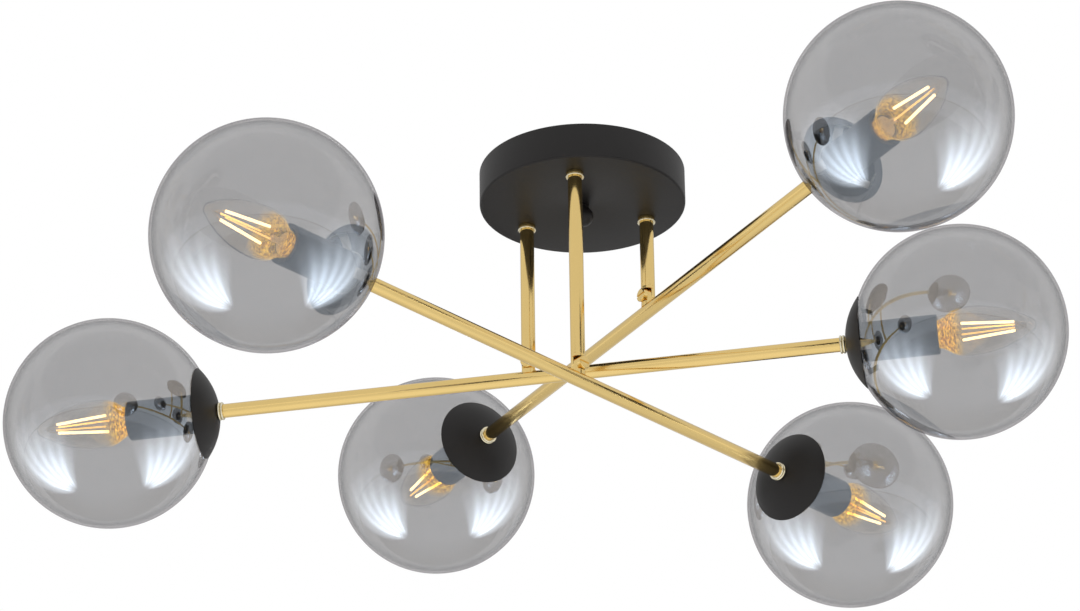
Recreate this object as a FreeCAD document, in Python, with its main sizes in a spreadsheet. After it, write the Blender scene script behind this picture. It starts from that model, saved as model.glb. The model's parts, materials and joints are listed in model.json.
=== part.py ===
import FreeCAD, Part
import math
import operator
import os
import Sketcher

Vector = FreeCAD.Vector
Rotation = FreeCAD.Rotation
Placement = FreeCAD.Placement

# Driving sizes in millimetres and degrees. The origin is on the ceiling at the middle of the
# canopy. Drops are measured from the underside of the canopy. The lampholder reaches down from
# the cup's crown, and the reaches of the lamp are measured out of the lampholder's open face.
SIZES = {
    # Canopy, a spun steel pan that is open towards the ceiling
    "canopy_radius": 73.0,
    "canopy_height": 26.0,
    "canopy_wall": 1.2,
    "canopy_edge_radius": 1.6,
    "stem_circle_radius": 49.5,
    "first_stem_angle": 24.1,
    # Crossbar that is screwed to the ceiling, with its earth screw
    "bracket_length": 110.0,
    "bracket_width": 20.0,
    "bracket_thickness": 2.0,
    "bracket_slot_spacing": 90.0,
    "bracket_slot_length": 14.0,
    "bracket_slot_width": 5.0,
    "earth_screw_offset": 19.0,
    "earth_screw_radius": 2.0,
    "earth_head_radius": 3.8,
    "earth_head_height": 2.6,
    # Threaded stud through the middle and the ball nut that holds the canopy up
    "stud_radius": 2.5,
    "stud_engagement": 8.0,
    "stud_nut_width": 8.0,
    "stud_nut_height": 3.2,
    "ball_radius": 7.5,
    "ball_neck_radius": 4.5,
    "ball_centre_drop": 8.5,
    "ball_hole_spare": 1.0,
    # Terminal block with three poles
    "pole_pitch": 8.0,
    "block_depth": 18.0,
    "block_height": 13.0,
    "block_offset": 19.0,
    "entry_radius": 1.6,
    "entry_drop": 6.5,
    "clamp_screw_radius": 1.6,
    "clamp_screw_spacing": 9.0,
    "clamp_screw_recess": 0.8,
    # Leads
    "lead_radius": 1.2,
    "lead_bend_radius": 4.5,
    "lead_start_depth": 8.0,
    "lead_entry_depth": 3.0,
    "lead_run_clearance": 11.0,
    "rod_lead_spacing": 2.8,
    # Stems and the parts that clamp them to the canopy
    "tube_radius": 5.0,
    "tube_wall": 1.0,
    "stem_rise": 9.0,
    "washer_radius": 9.0,
    "washer_thickness": 1.0,
    "lock_nut_width": 14.0,
    "lock_nut_height": 3.0,
    "ferrule_radius": 6.5,
    "ferrule_height": 4.0,
    "ferrule_groove_depth": 0.6,
    "ferrule_edge": 0.5,
    # Half-lap knuckle between a stem and its arm
    "pivot_height": 11.0,
    "shoulder_offset": 5.0,
    "tongue_radius": 4.6,
    "collar_height": 2.0,
    "plug_length": 8.0,
    "plug_chamfer": 0.6,
    "lap_slit": 0.2,
    "arm_tongue_thickness": 3.0,
    "saddle_depth": 3.5,
    "pivot_screw_radius": 2.0,
    "pivot_screw_engagement": 3.8,
    "screw_head_radius": 4.8,
    "screw_head_height": 3.6,
    "screw_head_edge": 0.7,
    "screw_slot_width": 1.2,
    "screw_slot_depth": 1.0,
    # Arms, each named by its letter: length between globe centres, drop of the rod's axis,
    # turn about the stem and tilt of the rod
    "arm_a_length": 586.0,
    "arm_a_drop": 160.5,
    "arm_a_turn_angle": 48.0,
    "arm_a_tilt_angle": 0.0,
    "arm_b_length": 608.0,
    "arm_b_drop": 121.0,
    "arm_b_turn_angle": -9.0,
    "arm_b_tilt_angle": 1.25,
    "arm_c_length": 633.0,
    "arm_c_drop": 74.0,
    "arm_c_turn_angle": -59.5,
    "arm_c_tilt_angle": 0.0,
    # Glass globe and the cup that its mouth rests in
    "globe_radius": 75.0,
    "globe_wall": 1.8,
    "mouth_radius": 27.0,
    "cup_proud": 5.0,
    "cup_rim_radius": 32.5,
    "cup_wall": 1.0,
    "cup_gap": 0.3,
    # Spring clip under the cup, with three bowed legs
    "clip_radius": 15.0,
    "clip_thickness": 0.6,
    "clip_leg_width": 7.0,
    "clip_bend_radius": 20.0,
    "clip_knee_drop": 3.5,
    "clip_tip_radius": 22.5,
    "clip_tip_drop": 12.9,
    # Lampholder with a skirt, a threaded sleeve and a centre contact
    "holder_radius": 14.0,
    "holder_reach": 65.0,
    "holder_edge": 1.0,
    "neck_radius": 10.0,
    "neck_height": 4.8,
    "rod_engagement": 5.7,
    "thread_depth": 7.7,
    "skirt_radius": 11.2,
    "skirt_depth": 10.0,
    "socket_wall": 0.5,
    "socket_depth": 22.0,
    "web_thickness": 3.0,
    "chamber_radius": 4.0,
    "contact_radius": 2.4,
    "contact_height": 1.7,
    # Candle lamp
    "lamp_radius": 17.5,
    "lamp_tip_room": 20.2,
    "lamp_tip_bend": 5.0,
    "lamp_belly_bend": 24.0,
    "lamp_waist_bend": 20.0,
    "lamp_belly_reach": 21.0,
    "lamp_base_radius": 9.2,
    "lamp_wall": 0.8,
    "lamp_throat_radius": 6.3,
    "lamp_throat_length": 2.4,
    "cap_radius": 6.95,
    "cap_wall": 0.45,
    "cap_length": 18.0,
    "cap_end_radius": 2.4,
    "cap_end_height": 2.0,
    "insulator_height": 2.0,
    "flare_radius": 8.0,
    "stem_neck_radius": 2.2,
    "stem_neck_start": 1.0,
    "stem_neck_reach": 11.0,
    "filament_radius": 0.9,
    "filament_tip_gap": 15.0,
    "filament_circle_radius": 5.2,
    "filament_reach": 16.0,
    "support_radius": 0.3,
    "support_tip_gap": 7.0,
    # Clearances and the overrun of every cut
    "running_fit": 0.05,
    "stem_fit": 0.08,
    "free_gap": 0.3,
    "overrun": 1.0,
}
ARMS = {"a": (1, 4), "b": (2, 5), "c": (3, 6)}
STEM_ORDER = ("c", "b", "a")
FILAMENTS = 4
CLIP_LEGS = 3
POLES = 3
# Where the groove of a ring lies, as shares of the ring's height
GROOVE_SHARES = (0.3, 0.5, 0.7)
# How far a lead's volume may be from that of its section along its route
LEAD_VOLUME_SHARE = 0.01

OPERATIONS = {"+": operator.add, "-": operator.sub, "*": operator.mul, "/": operator.truediv}


class Term:
    """A size, with the expression that binds it to the sheet."""

    def __init__(self, value, text):
        self.value = value
        self.text = text

    def __add__(self, other):
        return combine(self, "+", other)

    def __radd__(self, other):
        return combine(other, "+", self)

    def __sub__(self, other):
        return combine(self, "-", other)

    def __rsub__(self, other):
        return combine(other, "-", self)

    def __mul__(self, other):
        return combine(self, "*", other)

    def __rmul__(self, other):
        return combine(other, "*", self)

    def __truediv__(self, other):
        return combine(self, "/", other)

    def __neg__(self):
        return Term(-self.value, f"-({self.text})")


def as_term(item):
    """Return the item as a term, a plain number included."""
    return item if isinstance(item, Term) else Term(item, repr(item))


def combine(left, sign, right):
    """Return the term for two items joined by a sign."""
    left = as_term(left)
    right = as_term(right)
    value = OPERATIONS[sign](left.value, right.value)
    return Term(value, f"({left.text} {sign} {right.text})")


def root(term):
    """Return the square root of a term."""
    return Term(math.sqrt(term.value), f"sqrt({term.text})")


def leg(long_side, short_side):
    """Return the other short side of a right triangle."""
    return root(long_side * long_side - short_side * short_side)


doc = FreeCAD.newDocument("ceiling_light")
sheet = doc.addObject("Spreadsheet::Sheet", "Sizes")
for row, (alias, number) in enumerate(SIZES.items(), start=1):
    sheet.set(f"A{row}", alias)
    sheet.set(f"B{row}", str(number))
    sheet.setAlias(f"B{row}", alias)
doc.recompute()


class SheetSizes:
    """Reads a size of the sheet by its name."""

    def __getattr__(self, name):
        return Term(float(sheet.get(name)), f"Sizes.{name}")


s = SheetSizes()


def bind(target, name, term):
    """Bind a property to the sheet."""
    target.setExpression(name, as_term(term).text)


def new_body(name):
    """Add a body."""
    return doc.addObject("PartDesign::Body", name)


def new_sketch(body, name, role):
    """Add a sketch on one of the body's own planes."""
    sketch = body.newObject("Sketcher::SketchObject", name)
    origin_plane = next(item for item in body.Origin.OriginFeatures if item.Role == role)
    sketch.AttachmentSupport = (origin_plane, [""])
    sketch.MapMode = "FlatFace"
    return sketch


def locate(sketch, edge, end, x, y):
    """Hold one point of a sketch at a bound place."""
    for item, kind, axis in ((x, "DistanceX", -2), (y, "DistanceY", -1)):
        if isinstance(item, Term):
            index = sketch.addConstraint(Sketcher.Constraint(kind, -1, 1, edge, end, item.value))
            bind(sketch, f"Constraints[{index}]", item)
        else:
            sketch.addConstraint(Sketcher.Constraint("PointOnObject", edge, end, axis))


def arc_between(start, end, radius):
    """Return the short arc between two points, to the left for a positive radius."""
    chord = end - start
    middle = (start + end) * 0.5
    side = Vector(-chord.y, chord.x, 0).normalize()
    sagitta = math.sqrt(radius * radius - chord.Length * chord.Length / 4)
    centre = middle + side * math.copysign(sagitta, radius)
    first, last = (start, end) if radius > 0 else (end, start)
    angles = [math.atan2(point.y - centre.y, point.x - centre.x) for point in (first, last)]
    circle = Part.Circle(centre, Vector(0, 0, 1), abs(radius))
    return Part.ArcOfCircle(circle, angles[0], angles[1])


def add_outline(sketch, steps):
    """Add a closed outline. A step is a point, and for an arc to it also a signed radius."""
    points = [Vector(as_term(step[0]).value, as_term(step[1]).value, 0) for step in steps]
    edges = []
    for index, start in enumerate(points):
        following = (index + 1) % len(steps)
        radius = steps[following][2] if len(steps[following]) > 2 else None
        if radius is None:
            edge = sketch.addGeometry(Part.LineSegment(start, points[following]), False)
            edges.append((edge, 1, 2))
            continue
        edge = sketch.addGeometry(arc_between(start, points[following], radius.value), False)
        edges.append((edge, 1, 2) if radius.value > 0 else (edge, 2, 1))
        size = radius if radius.value > 0 else -radius
        constraint = sketch.addConstraint(Sketcher.Constraint("Radius", edge, size.value))
        bind(sketch, f"Constraints[{constraint}]", size)
    for index, (edge, start, end) in enumerate(edges):
        previous, _, previous_end = edges[index - 1]
        sketch.addConstraint(Sketcher.Constraint("Coincident", previous, previous_end, edge, start))
        locate(sketch, edge, start, steps[index][0], steps[index][1])


def add_circle(sketch, x, y, radius):
    """Add a bound circle to a sketch."""
    centre = Vector(as_term(x).value, as_term(y).value, 0)
    edge = sketch.addGeometry(Part.Circle(centre, Vector(0, 0, 1), radius.value), False)
    constraint = sketch.addConstraint(Sketcher.Constraint("Radius", edge, radius.value))
    bind(sketch, f"Constraints[{constraint}]", radius)
    locate(sketch, edge, 3, x, y)


def revolve(body, name, steps):
    """Turn an outline of radii and heights about the body's upright axis. Return its sketch."""
    sketch = new_sketch(body, f"{name}_profile", "XZ_Plane")
    add_outline(sketch, steps)
    turned = body.newObject("PartDesign::Revolution", name)
    turned.Profile = sketch
    turned.ReferenceAxis = (sketch, ["V_Axis"])
    turned.Angle = 360
    return sketch


def turned_body(name, steps):
    """Return a body that is one revolved outline."""
    body = new_body(name)
    revolve(body, f"{name}_turned", steps)
    return body


def pad(body, name, sketch, length, symmetric=False, downwards=False):
    """Pad a sketch."""
    feature = body.newObject("PartDesign::Pad", name)
    feature.Profile = sketch
    feature.SideType = "Symmetric" if symmetric else "One side"
    feature.Reversed = downwards
    bind(feature, "Length", length)
    return feature


def pocket(body, name, sketch, depth=None, along_normal=False):
    """Cut a sketch, through all of the body both ways if no depth is given."""
    doc.recompute()
    before = body.Shape.Volume
    feature = body.newObject("PartDesign::Pocket", name)
    feature.Profile = sketch
    if depth is None:
        feature.SideType = "Symmetric"
        feature.Type = "ThroughAll"
    else:
        bind(feature, "Length", depth)
        feature.Reversed = along_normal
    doc.recompute()
    if body.Shape.Volume >= before:
        raise RuntimeError(f"{name} cuts nothing")
    return feature


def polar_pattern(body, name, feature, axis, count):
    """Repeat a feature evenly about an axis of one of the body's sketches."""
    pattern = body.newObject("PartDesign::PolarPattern", name)
    pattern.Originals = [feature]
    pattern.Axis = axis
    pattern.Angle = 360
    pattern.Occurrences = count
    body.Tip = pattern
    return pattern


def cylinder(name, radius, height):
    """Add an upright cylinder on its own origin."""
    solid = doc.addObject("Part::Cylinder", name)
    bind(solid, "Radius", radius)
    bind(solid, "Height", height)
    return solid


def bored(name, blank, radius, height):
    """Cut a central bore through an upright blank."""
    drill = cylinder(f"{name}_bore", radius, height)
    result = doc.addObject("Part::Cut", name)
    result.Base = blank
    result.Tool = drill
    return result


def plain_ring(name, outer, inner, height):
    """Return a flat washer."""
    return bored(name, cylinder(f"{name}_blank", outer, height), inner, height)


def hex_nut(name, width, inner, height):
    """Return a nut that measures width across its flats."""
    prism = doc.addObject("Part::Prism", f"{name}_blank")
    prism.Polygon = 6
    bind(prism, "Circumradius", width / math.sqrt(3))
    bind(prism, "Height", height)
    return bored(name, prism, inner, height)


def grooved_ring(name, inner):
    """Return a turned ring with rounded edges and a groove round its middle."""
    outer = s.ferrule_radius
    height = s.ferrule_height
    edge = s.ferrule_edge
    low, middle, high = (height * share for share in GROOVE_SHARES)
    return turned_body(name, [
        (inner, 0),
        (outer - edge, 0),
        (outer, edge, edge),
        (outer, low),
        (outer - s.ferrule_groove_depth, middle),
        (outer, high),
        (outer, height - edge),
        (outer - edge, height, edge),
        (inner, height),
    ])


def group(name, members):
    """Gather separate solids in one node."""
    node = doc.addObject("Part::Compound", name)
    node.Links = members
    return node


def loose_solids(name, solids):
    """Add solids that have no sketch as one object."""
    item = doc.addObject("Part::Feature", name)
    item.Shape = Part.makeCompound(solids)
    return item


def raised(height):
    """Return the placement that lifts a piece along its own upright axis."""
    return Placement(Vector(0, 0, as_term(height).value), Rotation())


NODES = []


def add_node(name, item, placement):
    """Name, place and register one sub-part."""
    item.Label = name
    item.Placement = placement
    NODES.append(item)


# Frames

def stem_frame(arm):
    """Frame on the canopy's underside at a stem, turned so that X runs along the arm."""
    step = STEM_ORDER.index(arm) * 360 / len(STEM_ORDER)
    angle = math.radians(s.first_stem_angle.value + step)
    radius = s.stem_circle_radius.value
    place = Vector(radius * math.cos(angle), radius * math.sin(angle), -s.canopy_height.value)
    turn = getattr(s, f"arm_{arm}_turn_angle").value
    return Placement(place, Rotation(Vector(0, 0, 1), turn))


def pivot_drop(arm):
    """Depth of the knuckle's pivot below the canopy."""
    return getattr(s, f"arm_{arm}_drop") - s.pivot_height


def arm_frame(arm):
    """Frame at the knuckle's pivot, tilted with the arm."""
    tilt = getattr(s, f"arm_{arm}_tilt_angle").value
    pivot = stem_frame(arm).multiply(raised(-pivot_drop(arm)))
    return pivot.multiply(Placement(Vector(), Rotation(Vector(0, 1, 0), -tilt)))


def rod_frame(arm):
    """Frame at the middle of an arm's rod."""
    return arm_frame(arm).multiply(raised(-s.pivot_height))


def end_frame(arm, side):
    """Frame of one globe in its rod's frame: Z towards the stem and Y up."""
    half = getattr(s, f"arm_{arm}_length").value / 2
    turn = Rotation(Vector(0, -side, 0), Vector(0, 0, 1), Vector(-side, 0, 0), "XYZ")
    return Placement(Vector(side * half, 0, 0), turn)


# Ceiling plate and canopy

def add_bar(sketch, x, length, width):
    """Add a bar along X with round ends to a sketch."""
    radius = width / 2
    left = x - length / 2
    right = x + length / 2
    add_outline(sketch, [
        (left + radius, radius),
        (left, 0, radius),
        (left + radius, -radius, radius),
        (right - radius, -radius),
        (right, 0, radius),
        (right - radius, radius, radius),
    ])


def make_bracket():
    """Crossbar with round ends, two slots, the stud's hole and the earth screw's hole."""
    body = new_body("bracket")
    plate = new_sketch(body, "bracket_outline", "XY_Plane")
    add_bar(plate, 0, s.bracket_length, s.bracket_width)
    pad(body, "bracket_plate", plate, s.bracket_thickness, downwards=True)
    holes = new_sketch(body, "bracket_holes", "XY_Plane")
    for side in (-1, 1):
        slot_place = s.bracket_slot_spacing * side / 2
        add_bar(holes, slot_place, s.bracket_slot_length, s.bracket_slot_width)
    add_circle(holes, 0, 0, s.stud_radius + s.running_fit)
    add_circle(holes, s.earth_screw_offset, 0, s.earth_screw_radius + s.running_fit)
    pocket(body, "bracket_cut", holes)
    add_node("ceiling_bracket", body, Placement())


def stud_length():
    """Length of the stud, from the top of the bracket into the ball nut."""
    return s.canopy_height + s.stud_engagement


def make_stud():
    """Stud that hangs from the bracket, with the nut that locks it there."""
    stud = cylinder("stud", s.stud_radius, stud_length())
    stud.Placement = raised(-stud_length())
    bore = s.stud_radius + s.running_fit
    nut = hex_nut("stud_nut", s.stud_nut_width, bore, s.stud_nut_height)
    nut.Placement = raised(-s.bracket_thickness - s.stud_nut_height)
    add_node("centre_stud", group("stud_group", [stud, nut]), Placement())


def make_canopy():
    """Spun pan with a rounded lower edge, a centre hole and a hole for each stem."""
    edge = s.canopy_edge_radius
    wall = s.canopy_wall
    hole = s.stud_radius + s.free_gap
    body = new_body("pan")
    revolve(body, "pan_spun", [
        (hole, 0),
        (s.canopy_radius - edge, 0),
        (s.canopy_radius, edge, edge),
        (s.canopy_radius, s.canopy_height),
        (s.canopy_radius - wall, s.canopy_height),
        (s.canopy_radius - wall, edge),
        (s.canopy_radius - edge, wall, wall - edge),
        (hole, wall),
    ])
    drilled = new_sketch(body, "stem_hole_place", "XY_Plane")
    add_circle(drilled, s.stem_circle_radius, 0, s.tube_radius + s.stem_fit)
    hole_cut = pocket(body, "stem_hole", drilled)
    polar_pattern(body, "stem_holes", hole_cut, (drilled, ["N_Axis"]), len(ARMS))
    turn = Rotation(Vector(0, 0, 1), s.first_stem_angle.value)
    add_node("canopy", body, Placement(Vector(0, 0, -s.canopy_height.value), turn))


def make_ball_nut():
    """Round nut with a short neck and a blind thread, screwed up under the canopy."""
    bore = s.stud_radius + s.running_fit
    depth = s.stud_engagement + s.ball_hole_spare
    neck = s.ball_neck_radius
    body = turned_body("ball", [
        (bore, 0),
        (neck, 0),
        (neck, leg(s.ball_radius, neck) - s.ball_centre_drop),
        (0, -s.ball_centre_drop - s.ball_radius, -s.ball_radius),
        (0, -depth),
        (bore, -depth),
    ])
    add_node("ball_nut", body, raised(-s.canopy_height))


def pole_place(index):
    """Place of one pole's bore along the bracket."""
    return s.pole_pitch * (index - (POLES - 1) / 2) - s.block_offset


def make_terminal_block():
    """Block with a bore through each pole, clamp screws from below, and the earth screw."""
    body = new_body("block")
    base = new_sketch(body, "block_outline", "XY_Plane")
    half_length = s.pole_pitch * POLES / 2
    half_depth = s.block_depth / 2
    add_outline(base, [
        (-half_length - s.block_offset, -half_depth),
        (half_length - s.block_offset, -half_depth),
        (half_length - s.block_offset, half_depth),
        (-half_length - s.block_offset, half_depth),
    ])
    pad(body, "block_moulded", base, s.block_height, downwards=True)
    bores = new_sketch(body, "entry_places", "XZ_Plane")
    wells = new_sketch(body, "well_places", "XY_Plane")
    wells.AttachmentOffset = raised(-s.block_height)
    bind(wells, "AttachmentOffset.Base.z", -s.block_height)
    for index in range(POLES):
        add_circle(bores, pole_place(index), -s.entry_drop, s.entry_radius)
        for side in (-1, 1):
            well = s.clamp_screw_spacing * side / 2
            add_circle(wells, pole_place(index), well, s.clamp_screw_radius + s.running_fit)
    pocket(body, "entries", bores)
    pocket(body, "wells", wells, s.block_height - s.entry_drop, along_normal=True)
    pieces = [body]
    height = s.block_height - s.entry_drop - s.entry_radius - s.clamp_screw_recess
    for index in range(POLES):
        for side in (-1, 1):
            screw = cylinder(f"clamp_screw_{index}_{side}", s.clamp_screw_radius, height)
            place = Vector(pole_place(index).value, s.clamp_screw_spacing.value * side / 2, 0)
            lift = raised(s.clamp_screw_recess - s.block_height)
            screw.Placement = Placement(place, Rotation()).multiply(lift)
            pieces.append(screw)
    pieces.append(make_earth_screw())
    node = group("block_group", pieces)
    add_node("terminal_block", node, raised(-s.bracket_thickness))


def make_earth_screw():
    """Pan-head screw for the earth lead, up through the bracket."""
    edge = s.earth_head_height / 2
    body = turned_body("earth_screw", [
        (0, -s.earth_head_height),
        (s.earth_head_radius - edge, -s.earth_head_height),
        (s.earth_head_radius, edge - s.earth_head_height, edge),
        (s.earth_head_radius, 0),
        (s.earth_screw_radius, 0),
        (s.earth_screw_radius, s.bracket_thickness),
        (0, s.bracket_thickness),
    ])
    body.Placement = Placement(Vector(s.earth_screw_offset.value, 0, 0), Rotation())
    return body


# Leads

def corner_arc(before, corner, after, radius):
    """Return the arc that rounds a corner, with the points where it meets the runs."""
    inward = (before - corner).normalize()
    outward = (after - corner).normalize()
    half = inward.getAngle(outward) / 2
    reach = radius / math.tan(half)
    first = corner + inward * reach
    last = corner + outward * reach
    centre = corner + (inward + outward).normalize() * (radius / math.sin(half))
    middle = centre + (corner - centre).normalize() * radius
    return first, last, Part.Arc(first, middle, last).toShape()


def bent_lead(points, bend_radius, radius):
    """Return a round lead along straight runs joined by tangent arcs."""
    edges = []
    position = points[0]
    for before, corner, after in zip(points, points[1:], points[2:]):
        first, last, arc = corner_arc(before, corner, after, bend_radius)
        edges.append(Part.LineSegment(position, first).toShape())
        edges.append(arc)
        position = last
    edges.append(Part.LineSegment(position, points[-1]).toShape())
    direction = points[1] - points[0]
    section = Part.Wire(Part.makeCircle(radius, points[0], direction))
    lead = Part.Wire(edges).makePipeShell([section], True, True)
    length = sum(edge.Length for edge in edges)
    if abs(lead.Volume / (math.pi * radius * radius * length) - 1) > LEAD_VOLUME_SHARE:
        raise RuntimeError("A lead is not as thick as its section all along its route")
    return lead


def make_canopy_leads():
    """One lead from inside each stem over to its pole in the terminal block."""
    height = -(s.bracket_thickness + s.entry_drop).value
    top = (s.canopy_wall + s.stem_rise - s.canopy_height - s.lead_start_depth).value
    leads = []
    for pole, (arm, side) in enumerate((("b", 1), ("c", 1), ("a", -1))):
        stem = stem_frame(arm).Base
        face = s.block_depth.value / 2
        along = pole_place(pole).value
        leads.append(bent_lead([
            Vector(stem.x, stem.y, top),
            Vector(stem.x, stem.y, height),
            Vector(along, side * (face + s.lead_run_clearance.value), height),
            Vector(along, side * (face - s.lead_entry_depth.value), height),
        ], s.lead_bend_radius.value, s.lead_radius.value))
    add_node("canopy_leads", loose_solids("lead_set", leads), Placement())


# Stems

def stem_bottom(arm):
    """Depth at which a stem's tube ends on its knuckle's collar."""
    return pivot_drop(arm) - s.shoulder_offset - s.collar_height


def make_stem(arm):
    """Tube that hangs down through the canopy."""
    outer = s.tube_radius
    inner = outer - s.tube_wall
    top = s.canopy_wall + s.stem_rise
    bottom = -stem_bottom(arm)
    body = turned_body(f"stem_{arm}", [
        (inner, bottom),
        (outer, bottom),
        (outer, top),
        (inner, top),
    ])
    add_node(f"stem_tube_{arm}", body, stem_frame(arm))


def make_stem_fixings(arm):
    """Ring under the canopy, with the washer and lock nut above its sheet."""
    bore = s.tube_radius + s.running_fit
    ring = grooved_ring(f"stem_ring_{arm}", bore)
    ring.Placement = raised(-s.ferrule_height)
    washer = plain_ring(f"stem_washer_{arm}", s.washer_radius, bore, s.washer_thickness)
    washer.Placement = raised(s.canopy_wall)
    nut = hex_nut(f"stem_nut_{arm}", s.lock_nut_width, bore, s.lock_nut_height)
    nut.Placement = raised(s.canopy_wall + s.washer_thickness)
    node = group(f"stem_fixing_group_{arm}", [ring, washer, nut])
    add_node(f"stem_fixings_{arm}", node, stem_frame(arm))


# Half-lap knuckle, drawn about its pivot

def pocket_side(body, name, near, far, low, high):
    """Mill away a band of the bar between two depths along Y and two heights."""
    sketch = new_sketch(body, f"{name}_band", "YZ_Plane")
    add_outline(sketch, [(near, low), (far, low), (far, high), (near, high)])
    pocket(body, name, sketch)


def round_tongue(body, name, shoulder, way):
    """Mill the tongue's flanks and its round end. The tongue points up for a way of 1."""
    radius = s.tongue_radius
    side = s.tube_radius + s.overrun
    end = (s.tongue_radius + s.overrun) * way
    base = shoulder * -way
    turn = radius * -way
    sketch = new_sketch(body, f"{name}_outline", "XZ_Plane")
    add_outline(sketch, [
        (-side, base),
        (-radius, base),
        (-radius, 0),
        (0, radius * way, turn),
        (radius, 0, turn),
        (radius, base),
        (side, base),
        (side, end),
        (-side, end),
    ])
    pocket(body, name, sketch)


def make_stem_knuckle(arm):
    """Plug, collar and hanging tongue, which takes the pivot screw's thread."""
    shoulder = s.shoulder_offset
    collar_top = shoulder + s.collar_height
    plug_radius = s.tube_radius - s.tube_wall - s.running_fit
    plug_top = collar_top + s.plug_length
    body = new_body(f"stem_tongue_{arm}")
    revolve(body, f"stem_bar_{arm}", [
        (0, -s.tongue_radius),
        (s.tube_radius, -s.tongue_radius),
        (s.tube_radius, collar_top),
        (plug_radius, collar_top),
        (plug_radius, plug_top - s.plug_chamfer),
        (plug_radius - s.plug_chamfer, plug_top),
        (0, plug_top),
    ])
    side = s.tube_radius + s.overrun
    end = s.tongue_radius + s.overrun
    pocket_side(body, f"stem_lap_{arm}", -side, s.lap_slit / 2, -end, shoulder)
    round_tongue(body, f"stem_tongue_end_{arm}", shoulder, -1)
    drilled = new_sketch(body, f"stem_thread_{arm}", "XZ_Plane")
    add_circle(drilled, 0, 0, s.pivot_screw_radius + s.running_fit)
    depth = s.lap_slit / 2 + s.pivot_screw_engagement + s.running_fit
    pocket(body, f"stem_thread_hole_{arm}", drilled, depth)
    place = stem_frame(arm).multiply(raised(-pivot_drop(arm)))
    add_node(f"stem_knuckle_{arm}", body, place)


def arm_tongue_face():
    """Distance of the arm tongue's milled outer face from the knuckle's middle."""
    return s.lap_slit / 2 + s.arm_tongue_thickness


def make_arm_knuckle(arm):
    """Foot that saddles the rod and the upright tongue that the screw passes through."""
    shoulder = s.shoulder_offset
    side = s.tube_radius + s.overrun
    end = s.tongue_radius + s.overrun
    body = new_body(f"arm_tongue_{arm}")
    revolve(body, f"arm_bar_{arm}", [
        (0, -shoulder - s.saddle_depth),
        (s.tube_radius, -shoulder - s.saddle_depth),
        (s.tube_radius, s.tongue_radius),
        (0, s.tongue_radius),
    ])
    pocket_side(body, f"arm_lap_{arm}", -s.lap_slit / 2, side, -shoulder, end)
    pocket_side(body, f"arm_flat_{arm}", -side, -arm_tongue_face(), -shoulder, end)
    round_tongue(body, f"arm_tongue_end_{arm}", shoulder, 1)
    drilled = new_sketch(body, f"arm_pivot_{arm}", "XZ_Plane")
    add_circle(drilled, 0, 0, s.pivot_screw_radius + s.running_fit)
    pocket(body, f"arm_pivot_hole_{arm}", drilled)
    seat = new_sketch(body, f"arm_seat_{arm}", "YZ_Plane")
    add_circle(seat, 0, -s.pivot_height, s.tube_radius + s.running_fit)
    pocket(body, f"arm_saddle_{arm}", seat)
    add_node(f"arm_knuckle_{arm}", body, arm_frame(arm))


def make_knuckle_screw(arm):
    """Disc-headed screw with one slot, its axis along the knuckle's pivot."""
    radius = s.screw_head_radius
    height = s.screw_head_height
    edge = s.screw_head_edge
    length = s.lap_slit + s.arm_tongue_thickness + s.pivot_screw_engagement + s.lap_slit / 2
    body = new_body(f"pivot_screw_{arm}")
    revolve(body, f"screw_turned_{arm}", [
        (0, -length),
        (s.pivot_screw_radius, -length),
        (s.pivot_screw_radius, 0),
        (radius, 0),
        (radius, height - edge),
        (radius - edge, height, edge),
        (0, height),
    ])
    half = s.screw_slot_width / 2
    slot = new_sketch(body, f"screw_slot_{arm}", "YZ_Plane")
    floor = height - s.screw_slot_depth
    top = height + s.overrun
    add_outline(slot, [(-half, floor), (half, floor), (half, top), (-half, top)])
    pocket(body, f"screw_slot_cut_{arm}", slot)
    seat = -(arm_tongue_face() + s.lap_slit / 2).value
    facing = Placement(Vector(0, seat, 0), Rotation(Vector(1, 0, 0), 90))
    place = stem_frame(arm).multiply(raised(-pivot_drop(arm))).multiply(facing)
    add_node(f"knuckle_screw_{arm}", body, place)


# Arms

def cup_apex():
    """Distance of the cup's crown from the globe's centre."""
    return s.globe_radius + s.cup_proud


def cup_rim_height():
    """Distance of the cup's rim from the globe's centre, along the rod."""
    return leg(s.globe_radius + s.cup_gap, s.cup_rim_radius)


def cup_dome_radius():
    """Radius of the cup's outer dome, from its crown down to its rim."""
    rim = s.cup_rim_radius
    rise = cup_apex() - cup_rim_height()
    return (rim * rim + rise * rise) / (rise * 2)


def holder_top():
    """Distance of the holder's neck from the globe's centre, just inside the cup."""
    inner_dome = cup_dome_radius() - s.cup_wall
    centre = cup_apex() - cup_dome_radius()
    return centre + leg(inner_dome, s.neck_radius) - s.free_gap


def clip_seat():
    """Distance of the holder's shoulder, which the clip lies on, from the globe's centre."""
    return holder_top() - s.neck_height


def rod_end():
    """Distance of the rod's end from the globe's centre."""
    return holder_top() - s.rod_engagement


def make_rod(arm):
    """Straight tube from one lampholder to the other."""
    inset = rod_end()
    body = new_body(f"rod_tube_{arm}")
    section = new_sketch(body, f"rod_section_{arm}", "YZ_Plane")
    add_circle(section, 0, 0, s.tube_radius)
    add_circle(section, 0, 0, s.tube_radius - s.tube_wall)
    length = getattr(s, f"arm_{arm}_length") - inset * 2
    pad(body, f"rod_drawn_{arm}", section, length, symmetric=True)
    add_node(f"rod_{arm}", body, rod_frame(arm))


def holder_face():
    """Distance of the lampholder's open face from the globe's centre."""
    return cup_apex() - s.holder_reach


def socket_floor():
    """Distance of the socket's floor from the globe's centre."""
    return holder_face() + s.skirt_depth + s.socket_depth


def lead_end():
    """Distance of the rod leads' ends from the globe's centre, inside the lampholder."""
    return socket_floor() + s.web_thickness + s.free_gap


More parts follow.
